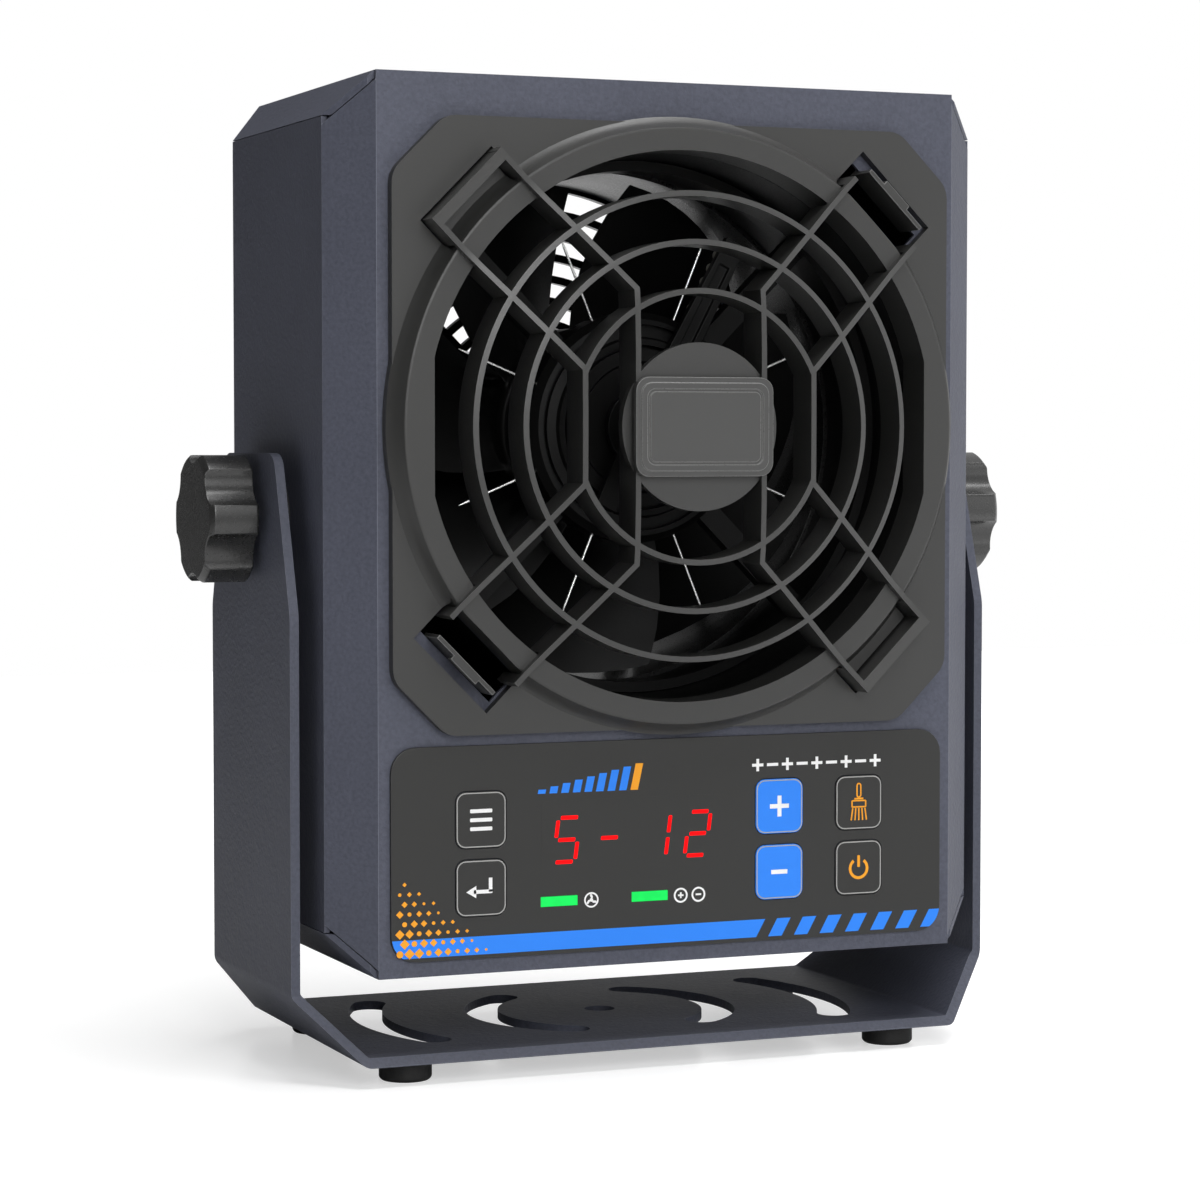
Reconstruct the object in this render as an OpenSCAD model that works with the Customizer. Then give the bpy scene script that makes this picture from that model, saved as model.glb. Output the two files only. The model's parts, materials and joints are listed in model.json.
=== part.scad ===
// Bench-top ionizing blower: a sheet-steel case with a fan, eight emitter needles and a
// rotating cleaning brush, hung between the arms of a slotted U-bracket.
// Millimetres. +Z up, the air leaves along -Y. The origin is the centre of the bench-screw
// hole, on the underside of the bracket's base; the tilt axis lies in the plane Y = 0.

/* [Case] */
// Width of the case across its sides
case_w = 153; // [150:1:190]
// Depth of the case from its front face to its back
case_d = 84; // [82:1:110]
// Height of the case
case_h = 190; // [188:1:240]
// Width of the 45 degree bevels on the case's corners
case_bevel = 9; // [6:0.5:11]
// Thickness of the case's sheet steel
case_wall = 1.2; // [0.8:0.1:1.5]
// Gap at the seams between the front and the rear of the case
seam_gap = 0.2; // [0.1:0.05:0.3]

/* [Air path] */
// Radius of the round air opening
air_r = 59; // [55:0.5:60]
// Half width between the two flats of the air opening
air_flat = 57.2; // [54:0.1:60]
// Side length of the square bezel plate
bezel_w = 130; // [128:1:140]
// Width of the 45 degree corners of the bezel plate
bezel_cut = 12; // [8:0.5:16]
// Distance from the top of the case to the bezel plate
bezel_margin = 9; // [7:0.5:12]
// Thickness of the bezel plate
bezel_t = 2.5; // [2:0.1:4]
// Height of the bezel's raised ring in front of the case
ring_rise = 6.9; // [5:0.1:9]
// Radii of the three grille rings
grille_r = [28.8, 39.2, 49.6];
// Thickness of the grille's ribs
rib_t = 1.2; // [1:0.1:1.6]
// Depth of the grille's ribs
rib_depth = 9; // [6:0.5:10]
// Distance of the inner upright ribs from the centre
rib_inner_x = 14.6; // [12:0.2:16]
// Distance of the outer upright ribs from the centre
rib_outer_x = 26.5; // [24:0.5:28]
// Distance of the diagonal ribs from the diagonal between them
rib_diag = 10.2; // [9:0.2:11]

/* [Fan] */
// Side length of the fan's frame
fan_w = 119; // [119:1:120]
// Depth of the fan's frame
fan_t = 38; // [25:1:38]
// Distance between the fan's mounting holes
fan_pitch = 105; // [104:0.5:106]
// Number of fan blades
blade_count = 7; // [5:1:9]
// Radius of the fan's hub
hub_r = 23; // [20:0.5:26]

/* [Emitter] */
// Number of emitter needles
needle_count = 8; // [6:1:12]
// Diameter of an emitter needle
needle_d = 0.6; // [0.4:0.1:1.4]
// Distance of the needles' tips from the fan's axis
needle_tip_r = 44.5; // [40:0.5:48]
// Radius of the emitter hub
emitter_hub_r = 25.5; // [23:0.5:27]
// Depth of the needles' plane behind the case's front face
needle_depth = 22.8; // [21:0.2:25]

/* [Control panel] */
// Height of the control overlay
panel_h = 45.4; // [44:0.2:46]
// Gap between the bezel plate and the control overlay
panel_gap = 2.3; // [1.5:0.1:4]
// Thickness of the control overlay
panel_t = 0.8; // [0.6:0.1:1.2]
// Width of a key
key_w = 11.4; // [10:0.1:12]
// Height of a key
key_h = 12; // [10:0.1:12.4]
// Clearance round a key in the overlay
key_gap = 0.15; // [0.1:0.05:0.3]
// Travel of a key
key_travel = 0.4; // [0.2:0.05:0.5]

/* [Bracket] */
// Thickness of the bracket's sheet steel
bracket_t = 2; // [1.5:0.1:3]
// Gap between a side of the case and the bracket's arm
arm_gap = 4.3; // [3:0.1:8]
// Clear height between the bracket's base and the case
base_gap = 17; // [13:0.5:30]
// Depth of the bracket's arms
arm_d = 59; // [40:1:70]
// Depth of the bracket's base
base_d = 81; // [70:1:100]
// Width of the slanted lower corners of the bracket
corner_w = 13.2; // [8:0.2:16]
// Height of the slanted lower corners of the bracket
corner_h = 14; // [8:0.5:16]
// Height of the tilt axis above the middle of the case
pivot_above = 1.2; // [0:0.1:4]
// Height of an arm above the tilt axis
arm_top = 14.2; // [12:0.1:20]
// Radius of the bench-screw hole in the base
bench_hole_r = 3.5; // [2.5:0.1:4]
// Width of the arc slots in the base
slot_w = 7.6; // [5:0.1:8]
// Diameter of a rubber foot
foot_d = 11.4; // [8:0.2:16]
// Height of a rubber foot
foot_h = 4.5; // [3:0.5:8]

/* [Clamp knobs] */
// Diameter of a clamp knob
knob_d = 29; // [24:0.5:34]
// Length of a knob's lobed grip
knob_l = 11.2; // [7:0.1:14]
// Number of lobes on a knob
lobe_count = 6; // [5:1:8]
// Radius of the stud in a knob
stud_r = 2.5; // [2:0.5:3]

/* [Hidden] */
$fn = 64;

// Clearances that repeat
eps = 0.05;
slide_gap = 0.2;
run_gap = 0.05;
screw_gap = 0.25;

// Heights
case_z = bracket_t + base_gap;
case_mid_z = case_z + case_h / 2;
pivot_z = case_mid_z + pivot_above;
fan_z = case_z + case_h - bezel_margin - bezel_w / 2;
panel_z = fan_z - bezel_w / 2 - panel_gap - panel_h / 2;

// Depths, from the front of the case to its back
front_y = -case_d / 2;
back_y = case_d / 2;
inner_front_y = front_y + case_wall;
inner_back_y = back_y - case_wall;
ring_y = front_y - ring_rise;
needle_y = front_y + needle_depth;
fan_back_y = inner_back_y - slide_gap;
fan_front_y = fan_back_y - fan_t;

// Bezel
bezel_corner_r = 6;
flank_r = air_r + 5.1;
flank_base_r = air_r + 7.4;
spigot_t = 1.6;
spigot_l = 3;
case_hole_r = air_r + spigot_t + slide_gap;
pocket_in = flank_r - 0.8;
pocket_out = air_r + 15;
pocket_half = rib_diag + 1.3;
frame_gap = 0.4;
catch_slot_out = pocket_out - 2.6;
catch_in = pocket_out - 3.8;
catch_rise = 6.5;

// Grille: the front edges of its ribs lie on a shallow dome
dome = [[0, 15], [22, 14.8], [30, 14.4], [39.2, 13], [49.6, 11], [58, 9.2], [64, 8.4], [76, 8.2]];
frame_out = air_r + 12.5;
frame_t = 2.6;
bar_end = air_r + 7.4;
cap_r = 17.9;
cap_front = 13.8;
grille_seat_r = air_r - 0.6;
rim_lift = 0.2;
prong_y = inner_front_y + 1.2;

// Emitter and brush
duct_t = 1.6;
carrier_ring_r = air_r - slide_gap;
carrier_front = needle_y - 5;
needle_root_r = emitter_hub_r - 6;
brush_back = carrier_front - 0.6;
brush_t = 2;
brush_rest = 62;
shaft_r = 1.5;
tuft_gap = 0.35;

// Fan
fan_bore_r = air_r - 1;
rotor_phase = 18.4;
blade_tip_r = fan_bore_r - 1.3;
fan_hole_r = 2.2;
fan_screw_r = fan_hole_r - screw_gap;
guard_y = back_y + 2.4;
guard_step = 5.2;
guard_rib = 1.8;

// Control panel
panel_w = bezel_w;
panel_r = 5.5;
key_r = 2.2;
key_rise = 0.2;
key_cap_t = 0.5;
key_col = [-44.9, 25, 44.5];
key_row = [6.9, -7.6];
plunger_r = 2;
display_w = 41;
display_h = 15;
display_x = -10;
display_dz = 2.2;
light_w = 8.4;
light_h = 2.1;
light_x = [-27, -5.9];
light_dz = -11.4;
board_y = inner_front_y + 9.8;
board_t = 1.6;
board_w = 124;
board_h = 41;
standoff_r = 2.5;

// Bracket and pivot
arm_in = case_w / 2 + arm_gap;
arm_out = arm_in + bracket_t;
arm_narrow = 37;
taper_below = 20;
bend_r = 3;
foot_x = arm_out - corner_w - foot_d / 2 - 6;
foot_y = base_d / 2 - foot_d / 2 - 3.7;
slot_r = [27.2, 53.6];
slot_angle = [55, 27.2];
slot_turn = [0, 1.8];
knob_gap = 0.2;
right_knob_turn = -5;
collar_r = 7;
collar_l = 1.7;
knob_in = arm_out + knob_gap;
insert_r = 4.5;
insert_l = 8;

// Extrudes a shape drawn in X and Z from depth y0 to depth y1.
module slab_y(y0, y1) {
    translate([0, y1, 0]) rotate([90, 0, 0]) linear_extrude(y1 - y0) children();
}

// Turns a profile, drawn as radius and depth, round the Y axis.
module turned_y() {
    rotate([-90, 0, 0]) rotate_extrude() children();
}

module at_fan() {
    translate([0, 0, fan_z]) children();
}

// A plain ring round the Y axis.
module ring_y(r_in, r_out, y0, y1) {
    turned_y() translate([r_in, y0]) square([r_out - r_in, y1 - y0]);
}

module rod_y(r, y0, y1) {
    translate([0, y0, 0]) rotate([-90, 0, 0]) cylinder(r = r, h = y1 - y0);
}

// The corner points of a rectangle with 45 degree corners.
function octagon(w, h, c) = [
    [c - w / 2, -h / 2], [w / 2 - c, -h / 2], [w / 2, c - h / 2], [w / 2, h / 2 - c],
    [w / 2 - c, h / 2], [c - w / 2, h / 2], [-w / 2, h / 2 - c], [-w / 2, c - h / 2]
];

// The same rectangle with every side moved in by t.
function inset_octagon(w, h, c, t) = octagon(w - 2 * t, h - 2 * t, c - t * (2 - sqrt(2)));

function rectangle(w, h) = [[-w / 2, -h / 2], [w / 2, -h / 2], [w / 2, h / 2], [-w / 2, h / 2]];

function unit(v) = v / norm(v);

// The points of the arc of radius r that rounds the corner b between a and c.
function corner_arc(a, b, c, r, steps) =
    let (u = unit(a - b), v = unit(c - b), half = acos(u * v) / 2)
    let (m = b + unit(u + v) * r / sin(half), t = r / tan(half))
    let (p = b + u * t - m, q = b + v * t - m)
    let (from = atan2(p.y, p.x), turn = atan2(p.x * q.y - p.y * q.x, p * q))
    [for (i = [0:steps]) m + r * [cos(from + turn * i / steps), sin(from + turn * i / steps)]];

// A closed outline with each corner rounded by its own radius; 0 leaves it sharp.
function rounded(pts, r, steps = 6) = [
    for (i = [0:len(pts) - 1])
        let (n = len(pts), radius = is_list(r) ? r[i] : r)
        each radius <= 0
            ? [pts[i]]
            : corner_arc(pts[(i + n - 1) % n], pts[i], pts[(i + 1) % n], radius, steps)
];

// The sideways step of a strip of width 1 at its point i, mitred between its two neighbours.
function mitre(pts, i) =
    let (u = unit(pts[min(i + 1, len(pts) - 1)] - pts[min(i, len(pts) - 2)]))
    let (v = unit(pts[max(i, 1)] - pts[max(i - 1, 0)]))
    let (n = unit([-u.y - v.y, u.x + v.x]))
    n / (2 * (n * [-u.y, u.x]));

// The outline of a strip of width t along a line of points.
function strip(pts, t) = concat(
    [for (i = [0:len(pts) - 1]) pts[i] + t * mitre(pts, i)],
    [for (i = [len(pts) - 1:-1:0]) pts[i] - t * mitre(pts, i)]
);

// Places a shape, drawn outwards along +X, on each of the four diagonals named.
module on_diagonals(angles = [45, 135, 225, 315]) {
    for (a = angles) rotate(a) children();
}

// A rectangle on a diagonal, from distance r0 to r1 and t0 to t1 across.
module diagonal_box(r0, r1, t0, t1) {
    translate([r0, t0]) square([r1 - r0, t1 - t0]);
}

// ---- Case ----

module case_plan(t = 0) {
    polygon(inset_octagon(case_w, case_d, case_bevel, t));
}

module case_face(t = 0) {
    polygon(inset_octagon(case_w, case_h, case_bevel, t));
}

// The room that the top and bottom sheets leave for the side walls.
module wall_room() {
    s = case_wall + seam_gap;
    polygon(octagon(case_w, case_h - 2 * s, case_bevel + s * (sqrt(2) - 1)));
}

lip_w = 8.2;
lip_h = 16;
lip_x = case_w / 2 - case_bevel - 2.9;
case_screw_x = case_w / 2 - case_bevel - 3.5;
case_screw_z = [case_z + 22, case_z + case_h - 14];
case_screw_r = 1.5;

module front_case() {
    flat_w = case_w - 2 * case_bevel;
    color("#5a5c69") difference() {
        union() {
            translate([-flat_w / 2, front_y, case_z]) cube([flat_w, case_wall, case_h]);
            intersection() {
                translate([0, 0, case_z]) linear_extrude(case_h) difference() {
                    case_plan();
                    case_plan(case_wall);
                    translate([-flat_w / 2, -case_d]) square([flat_w, 2 * case_d]);
                }
                slab_y(front_y, back_y) translate([0, case_mid_z]) wall_room();
            }
            for (side = [-1, 1], z = case_screw_z)
                translate([side * lip_x - lip_w / 2, inner_back_y - eps - case_wall, z - lip_h / 2])
                    cube([lip_w, case_wall, lip_h]);
        }
        at_fan() {
            rod_y(case_hole_r, front_y - 1, inner_front_y + 1);
            slab_y(front_y - 1, inner_front_y + 1)
                on_diagonals() diagonal_box(pocket_in - 0.1, catch_slot_out, -rib_diag - 0.9, rib_diag + 0.9);
        }
        panel_cuts(slide_gap);
        for (side = [-1, 1], z = case_screw_z)
            translate([side * case_screw_x, 0, z]) rod_y(case_screw_r, inner_back_y - 3, inner_back_y);
        for (side = [-1, 1]) pivot_axis(side) translate([0, 0, case_w / 2 - 5])
            cylinder(r = insert_r + run_gap, h = 10);
    }
}

// Holes in the front of the case for what looks or reaches through it.
module panel_cuts(gap) {
    translate([0, 0, panel_z]) {
        slab_y(front_y - 1, inner_front_y + 1) {
            translate([display_x, display_dz])
                polygon(rectangle(display_w + 2 * gap, display_h + 2 * gap));
            for (x = light_x) translate([x, light_dz])
                polygon(rectangle(light_w + 2 * gap, light_h + 2 * gap));
        }
        for (x = key_col, z = key_row) translate([x, 0, z])
            rod_y(plunger_r + screw_gap, front_y - 1, inner_front_y + 1);
    }
}

inlet_x = 34;
inlet_z = case_z + 24;
inlet_w = 27.4;
inlet_h = 19.8;
inlet_ear_pitch = 40;
earth_x = -38;
earth_r = 2;

module rear_case() {
    flat_w = case_w - 2 * case_bevel;
    open_y = inner_front_y + seam_gap;
    color("#5a5c69") difference() {
        union() {
            intersection() {
                slab_y(open_y, back_y) translate([0, case_mid_z]) difference() {
                    case_face();
                    case_face(case_wall);
                    polygon(rectangle(2 * case_w, case_h - 2 * case_bevel));
                }
                translate([0, 0, case_z]) linear_extrude(case_h) case_plan();
            }
            translate([seam_gap - flat_w / 2, inner_back_y, case_z])
                cube([flat_w - 2 * seam_gap, case_wall, case_h]);
        }
        at_fan() {
            rod_y(fan_bore_r, inner_back_y - 1, back_y + 1);
            for (x = [-1, 1], z = [-1, 1]) translate([x * fan_pitch / 2, 0, z * fan_pitch / 2])
                rod_y(fan_hole_r, inner_back_y - 1, back_y + 1);
        }
        for (side = [-1, 1], z = case_screw_z) translate([side * case_screw_x, 0, z])
            rod_y(case_screw_r + screw_gap, inner_back_y - 1, back_y + 1);
        translate([inlet_x, 0, inlet_z]) {
            slab_y(inner_back_y - 1, back_y + 1)
                polygon(rectangle(inlet_w + 2 * slide_gap, inlet_h + 2 * slide_gap));
            for (side = [-1, 1]) translate([side * inlet_ear_pitch / 2, 0, 0])
                rod_y(case_screw_r + screw_gap, inner_back_y - 1, back_y + 1);
        }
        translate([earth_x, 0, inlet_z]) rod_y(earth_r + run_gap, inner_back_y - 1, back_y + 1);
    }
}

// A pan-head screw along +Y: its head stands on depth y and its shank points to -Y.
module panel_screw(r, y, length) {
    turned_y() polygon([
        [0, y - length], [r, y - length], [r, y], [2 * r, y], [2 * r, y + 0.8 * r],
        [1.6 * r, y + 1.2 * r], [0, y + 1.25 * r]
    ]);
}

module case_screws() {
    color("#2e2f33") for (side = [-1, 1], z = case_screw_z) translate([side * case_screw_x, 0, z])
        panel_screw(case_screw_r - run_gap, back_y, 5);
}

// ---- Bezel, duct and grille ----

module air_opening() {
    intersection() {
        circle(air_r);
        polygon(rectangle(2 * air_flat, 3 * air_r));
    }
}

module front_bezel() {
    color("#4f4f4e") at_fan() difference() {
        union() {
            slab_y(front_y - bezel_t, front_y)
                polygon(rounded(octagon(bezel_w, bezel_w, bezel_cut), bezel_corner_r));
            turned_y() polygon([
                [air_r - 4, front_y], [air_r - 4, ring_y], [flank_r - 0.9, ring_y],
                [flank_r - 0.3, ring_y + 0.3], [flank_r, ring_y + 0.9], [flank_r + 0.6, ring_y + 2.6], [flank_r + 1.4, ring_y + 3.8],
                [flank_base_r, front_y - bezel_t + 0.2], [flank_base_r, front_y]
            ]);
            ring_y(air_r - 4, air_r + spigot_t, front_y - 1, front_y + spigot_l);
        }
        slab_y(ring_y - 1, front_y + spigot_l + 1) air_opening();
        slab_y(ring_y - 1, front_y) {
            on_diagonals([45, 225]) diagonal_box(pocket_in, pocket_out, -pocket_half, pocket_half);
            on_diagonals([135, 315]) frame_groove();
        }
    }
}

// The groove that one closed corner of the grille's frame stands in.
module frame_groove() {
    side = rib_diag + rib_t / 2 + frame_gap;
    island = rib_diag - rib_t / 2 - frame_gap;
    difference() {
        diagonal_box(pocket_in, frame_out + frame_gap, -side, side);
        diagonal_box(pocket_in - 1, frame_out - frame_t - frame_gap, -island, island);
    }
}

module air_duct() {
    duct_front = front_y + spigot_l + slide_gap;
    color("#1d1d1d") at_fan() {
        difference() {
            union() {
                ring_y(air_r, air_r + duct_t, duct_front, fan_front_y - slide_gap);
                slab_y(fan_front_y - slide_gap - 2, fan_front_y - slide_gap) intersection() {
                    circle(air_r + 4);
                    polygon(rectangle(fan_w, fan_w));
                }
            }
            rod_y(air_r, duct_front - 1, fan_front_y + 1);
        }
    }
}

// The band between the front and the back of the grille's ribs, as radius and depth.
module grille_band() {
    rim_r = dome[len(dome) - 1].x;
    turned_y() polygon(concat(
        [for (p = dome) [p.x, front_y - p.y]],
        [[rim_r, prong_y], [grille_seat_r, prong_y], [grille_seat_r, front_y - rim_lift]],
        [for (i = [4:-1:0]) [dome[i].x, front_y - dome[i].y + rib_depth]]
    ));
}

// What is cut off behind the ribs: all but the rings' own room and the prongs at the corners.
module behind_rim(y0, y1, outer) {
    slab_y(y0, y1) difference() {
        circle(2 * air_r);
        circle(grille_seat_r);
        on_diagonals() diagonal_box(pocket_in + 0.6, outer, -rib_diag - rib_t, rib_diag + rib_t);
    }
}

// One upright rib at the distance x, with slanted ends that keep rib_diag from the diagonals.
module bent_rib(x, side, upper_end, lower_end) {
    shift = x > rib_diag * sqrt(2) + 5 ? rib_diag : -rib_diag;
    knee = x - shift * sqrt(2);
    polygon(strip([
        [side * (upper_end + shift), upper_end - shift] / sqrt(2), [side * x, knee], [side * x, -knee],
        [side * (lower_end + shift), shift - lower_end] / sqrt(2)
    ], rib_t));
}

module grille_face() {
    for (r = grille_r) intersection() {
        difference() {
            circle(r + rib_t / 2);
            circle(r - rib_t / 2);
        }
        polygon(rectangle(r == grille_r[0] ? 2 * rib_outer_x : 3 * r, 3 * r));
    }
    for (side = [-1, 1], x = [rib_inner_x, rib_outer_x])
        bent_rib(x, side, side < 0 ? frame_out : bar_end, side < 0 ? bar_end : frame_out);
    on_diagonals([135, 315])
        diagonal_box(frame_out - frame_t, frame_out - 2 * eps, -rib_diag, rib_diag);
}

module front_grille() {
    color("#3c3c3b") at_fan() union() {
        difference() {
            intersection() {
                grille_band();
                slab_y(front_y - 20, prong_y + 1) grille_face();
            }
            behind_rim(ring_y - eps, front_y - eps, frame_out + 1);
            behind_rim(front_y - 2 * eps, prong_y + 1, bar_end - 0.2);
        }
        slab_y(front_y - cap_front, front_y - cap_front + 2) circle(cap_r);
    }
}

// A plain plate that bridges the two inner ribs over the grille's centre disc.
module grille_plate() {
    plate_w = 2 * rib_inner_x + 2.6;
    plate_h = 21;
    color("#4a4a49") at_fan() difference() {
        union() {
            slab_y(front_y - 16.6, front_y - 15.05) polygon(rounded(rectangle(plate_w, plate_h), 3));
            slab_y(front_y - 17, front_y - 16.6)
                polygon(rounded(rectangle(plate_w - 2.4, plate_h - 2.4), 2.4));
        }
        slab_y(front_y - 17.1, front_y - 16.7) difference() {
            polygon(rounded(rectangle(plate_w - 5, plate_h - 5), 1.8));
            polygon(rounded(rectangle(plate_w - 6.2, plate_h - 6.2), 1.4));
        }
    }
}

// A catch in each open corner: a finger with a tab on it, and a foot behind the case's sheet.
module grille_latches() {
    foot_t = 1.4;
    color("#4b4b4a") at_fan() {
        slab_y(front_y - catch_rise, inner_front_y + foot_t)
            on_diagonals([45, 225]) diagonal_box(catch_in, catch_in + 1, -9, 8.5);
        slab_y(front_y - catch_rise, front_y - catch_rise + 2)
            on_diagonals([45, 225]) diagonal_box(catch_in + 0.5, catch_in + 2, -3.7, 4.1);
        slab_y(inner_front_y + eps, inner_front_y + foot_t)
            on_diagonals([45, 225]) diagonal_box(catch_in + 0.5, pocket_out, -9, 8.5);
    }
}

// ---- Emitter and cleaning brush ----

module emitter_carrier() {
    notch_count = 36;
    color("#161616") at_fan() difference() {
        union() {
            turned_y() polygon([
                [0, carrier_front + 1], [14, carrier_front + 1], [14.6, carrier_front], [19.5, carrier_front],
                [20, carrier_front + 0.8], [emitter_hub_r - 1.6, carrier_front + 1.4],
                [emitter_hub_r, carrier_front + 3], [emitter_hub_r, needle_y + 5],
                [emitter_hub_r - 3, needle_y + 5], [emitter_hub_r - 3, needle_y + 1], [0, needle_y + 1]
            ]);
            ring_y(carrier_ring_r - 2.2, carrier_ring_r, needle_y - 2, needle_y + 6);
            slab_y(needle_y + 1, needle_y + 5) for (a = [45, 135, 225, 315]) rotate(a)
                translate([emitter_hub_r - 2, -2.5]) square([carrier_ring_r - emitter_hub_r + 0.5, 5]);
        }
        rod_y(shaft_r + run_gap, carrier_front - 1, needle_y + 2);
        for (r = [17.4, 22]) ring_y(r, r + 0.8, carrier_front - 1, carrier_front + 2.6);
        on_needles() rotate([0, 90, 0]) cylinder(d = needle_d + 2 * eps, h = emitter_hub_r);
        for (k = [0:notch_count - 1]) rotate([0, k * 360 / notch_count, 0])
            translate([emitter_hub_r - 0.9, needle_y + 2.6, -0.9]) cube([2, 3, 1.8]);
    }
}

// Turns what points out along +X to the place of each emitter needle.
module on_needles() {
    for (k = [0:needle_count - 1]) rotate([0, (k + 0.5) * 360 / needle_count, 0])
        translate([needle_root_r, needle_y, 0]) children();
}

module emitter_needles() {
    point_l = 2;
    length = needle_tip_r - needle_root_r - eps;
    color("#d8d8d8") at_fan() on_needles() translate([eps, 0, 0]) rotate([0, 90, 0]) {
        cylinder(d = needle_d, h = length - point_l);
        translate([0, 0, length - point_l]) cylinder(d1 = needle_d, d2 = 0.2, h = point_l);
    }
}

module brush_motor() {
    motor_r = 11;
    color("#b9babc") at_fan() difference() {
        union() {
            rod_y(motor_r, needle_y + 1.1, needle_y + 13);
            rod_y(motor_r + 4, needle_y + 3, needle_y + 4);
        }
        rod_y(shaft_r + run_gap, needle_y, needle_y + 7);
    }
}

module brush_arm() {
    color("#232323") at_fan() rotate([0, -brush_rest, 0]) {
        rod_y(shaft_r, brush_back - 1, needle_y + 6);
        difference() {
            union() {
                rod_y(9, brush_back - brush_t, brush_back);
                rod_y(5, brush_back - brush_t - 1.2, brush_back);
                slab_y(brush_back - brush_t, brush_back) {
                    polygon([[0, -4], [needle_tip_r + 2, -2.5], [needle_tip_r + 2, 2.5], [0, 4]]);
                    polygon([[0, -4], [-20, -2.5], [-20, 2.5], [0, 4]]);
                }
            }
            slab_y(brush_back - brush_t - 2, brush_back - brush_t + 0.8)
                translate([12, -1.2]) square([needle_tip_r - 16, 2.4]);
        }
    }
}

module brush_bristles() {
    tuft_y = needle_y - needle_d / 2 - tuft_gap;
    tuft_count = 5;
    color("#e8e4d8") at_fan() rotate([0, -brush_rest, 0]) for (k = [0:tuft_count - 1])
        translate([needle_tip_r - 1 - k * 3.4, 0, 0]) rod_y(1.3, brush_back + eps, tuft_y);
}

// ---- Fan ----

module fan_holes(r) {
    for (x = [-1, 1], z = [-1, 1]) translate([x * fan_pitch / 2, 0, z * fan_pitch / 2])
        rod_y(r, fan_front_y - 1, fan_back_y + 1);
}

bearing_r = 4;
tube_r = 5.5;
base_r = 21;

module fan_frame() {
    flange = 4;
    color("#1b1b1b") at_fan() difference() {
        union() {
            difference() {
                union() {
                    slab_y(fan_front_y, fan_front_y + flange)
                        polygon(rounded(rectangle(fan_w, fan_w), 5));
                    slab_y(fan_back_y - flange, fan_back_y)
                        polygon(rounded(rectangle(fan_w, fan_w), 5));
                    slab_y(fan_front_y, fan_back_y) intersection() {
                        circle(fan_bore_r + 2.6);
                        polygon(rectangle(fan_w, fan_w));
                    }
                }
                rod_y(fan_bore_r, fan_front_y - 1, fan_back_y + 1);
            }
            slab_y(fan_back_y - flange, fan_back_y) for (a = [20, 110, 200, 290]) rotate(a)
                translate([base_r - 1, -2.2]) square([fan_bore_r - base_r + 2, 4.4]);
            rod_y(base_r, fan_back_y - flange, fan_back_y);
            rod_y(tube_r, fan_back_y - 21, fan_back_y);
        }
        rod_y(bearing_r, fan_back_y - 22, fan_back_y - 1.5);
        fan_holes(fan_hole_r);
    }
}

// Height of the blade's leading edge and trailing edge over its hub, at a share s of its span.
function blade_turn(s) = 62 - 16 * s;
function blade_lean(s) = 15 * s;

// One corner of the blade's skin: share s of the span, share c of the chord, face k.
function blade_point(s, c, k) =
    let (r = hub_r - 1 + s * (blade_tip_r - hub_r + 1))
    let (arc = blade_lean(s) - blade_turn(s) * (c - 0.5))
    let (camber = 3.2 * sin(180 * c), t = (1.7 - 0.6 * s) * (0.35 + 0.65 * sin(180 * c)))
    let (y = fan_front_y + 4 + 24 * (1 - c) - camber + k * t / 2)
    [r * sin(arc), y, r * cos(arc)];

module blade() {
    spans = 5;
    chords = 8;
    row = chords + 1;
    sheet = (spans + 1) * row;
    pts = [
        for (k = [-1, 1], i = [0:spans], j = [0:chords]) blade_point(i / spans, j / chords, k)
    ];
    quads = [
        for (i = [0:spans - 1], j = [0:chords - 1])
            let (a = i * row + j) each [
                [a, a + 1, a + row + 1], [a, a + row + 1, a + row],
                [sheet + a, sheet + a + row + 1, sheet + a + 1],
                [sheet + a, sheet + a + row, sheet + a + row + 1]
            ]
    ];
    ends = [
        for (j = [0:chords - 1]) let (b = spans * row + j) each [
            [j, sheet + j, sheet + j + 1], [j, sheet + j + 1, j + 1],
            [b, b + 1, sheet + b + 1], [b, sheet + b + 1, sheet + b]
        ]
    ];
    sides = [
        for (i = [0:spans - 1]) let (a = i * row, b = a + chords) each [
            [a, a + row, sheet + a + row], [a, sheet + a + row, sheet + a],
            [b, sheet + b, sheet + b + row], [b, sheet + b + row, b + row]
        ]
    ];
    polyhedron(points = pts, faces = concat(quads, ends, sides));
}

module fan_rotor() {
    cup_back = fan_back_y - 6;
    color("#141414") at_fan() difference() {
        union() {
            turned_y() polygon([
                [0, fan_front_y + 2.2], [hub_r - 2, fan_front_y + 2.2], [hub_r, fan_front_y + 4.2],
                [hub_r, cup_back], [hub_r - 2.4, cup_back], [hub_r - 2.4, fan_front_y + 5.2],
                [3.6, fan_front_y + 5.2], [3.6, fan_front_y + 10], [0, fan_front_y + 10]
            ]);
            for (k = [0:blade_count - 1]) rotate([0, rotor_phase + k * 360 / blade_count, 0]) blade();
        }
        rod_y(shaft_r + 0.02, fan_front_y + 4, fan_front_y + 11);
    }
}

module fan_shaft() {
    color("#c4c6c8") at_fan() rod_y(shaft_r, fan_front_y + 4.1, fan_back_y - 3);
}

module fan_bearings() {
    color("#a9abad") at_fan() for (y = [fan_back_y - 20.8, fan_back_y - 8])
        ring_y(shaft_r + run_gap, bearing_r - 0.02, y, y + 4);
}

module fan_stator() {
    stator_r = hub_r - 4;
    color("#8a4b22") at_fan() difference() {
        rod_y(stator_r, fan_back_y - 19, fan_back_y - 6);
        rod_y(tube_r + 0.02, fan_back_y - 20, fan_back_y - 5);
        for (a = [0:60:300]) rotate([0, a, 0])
            translate([9, fan_back_y - 20, -1.6]) cube([stator_r, 15, 3.2]);
    }
}

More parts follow.
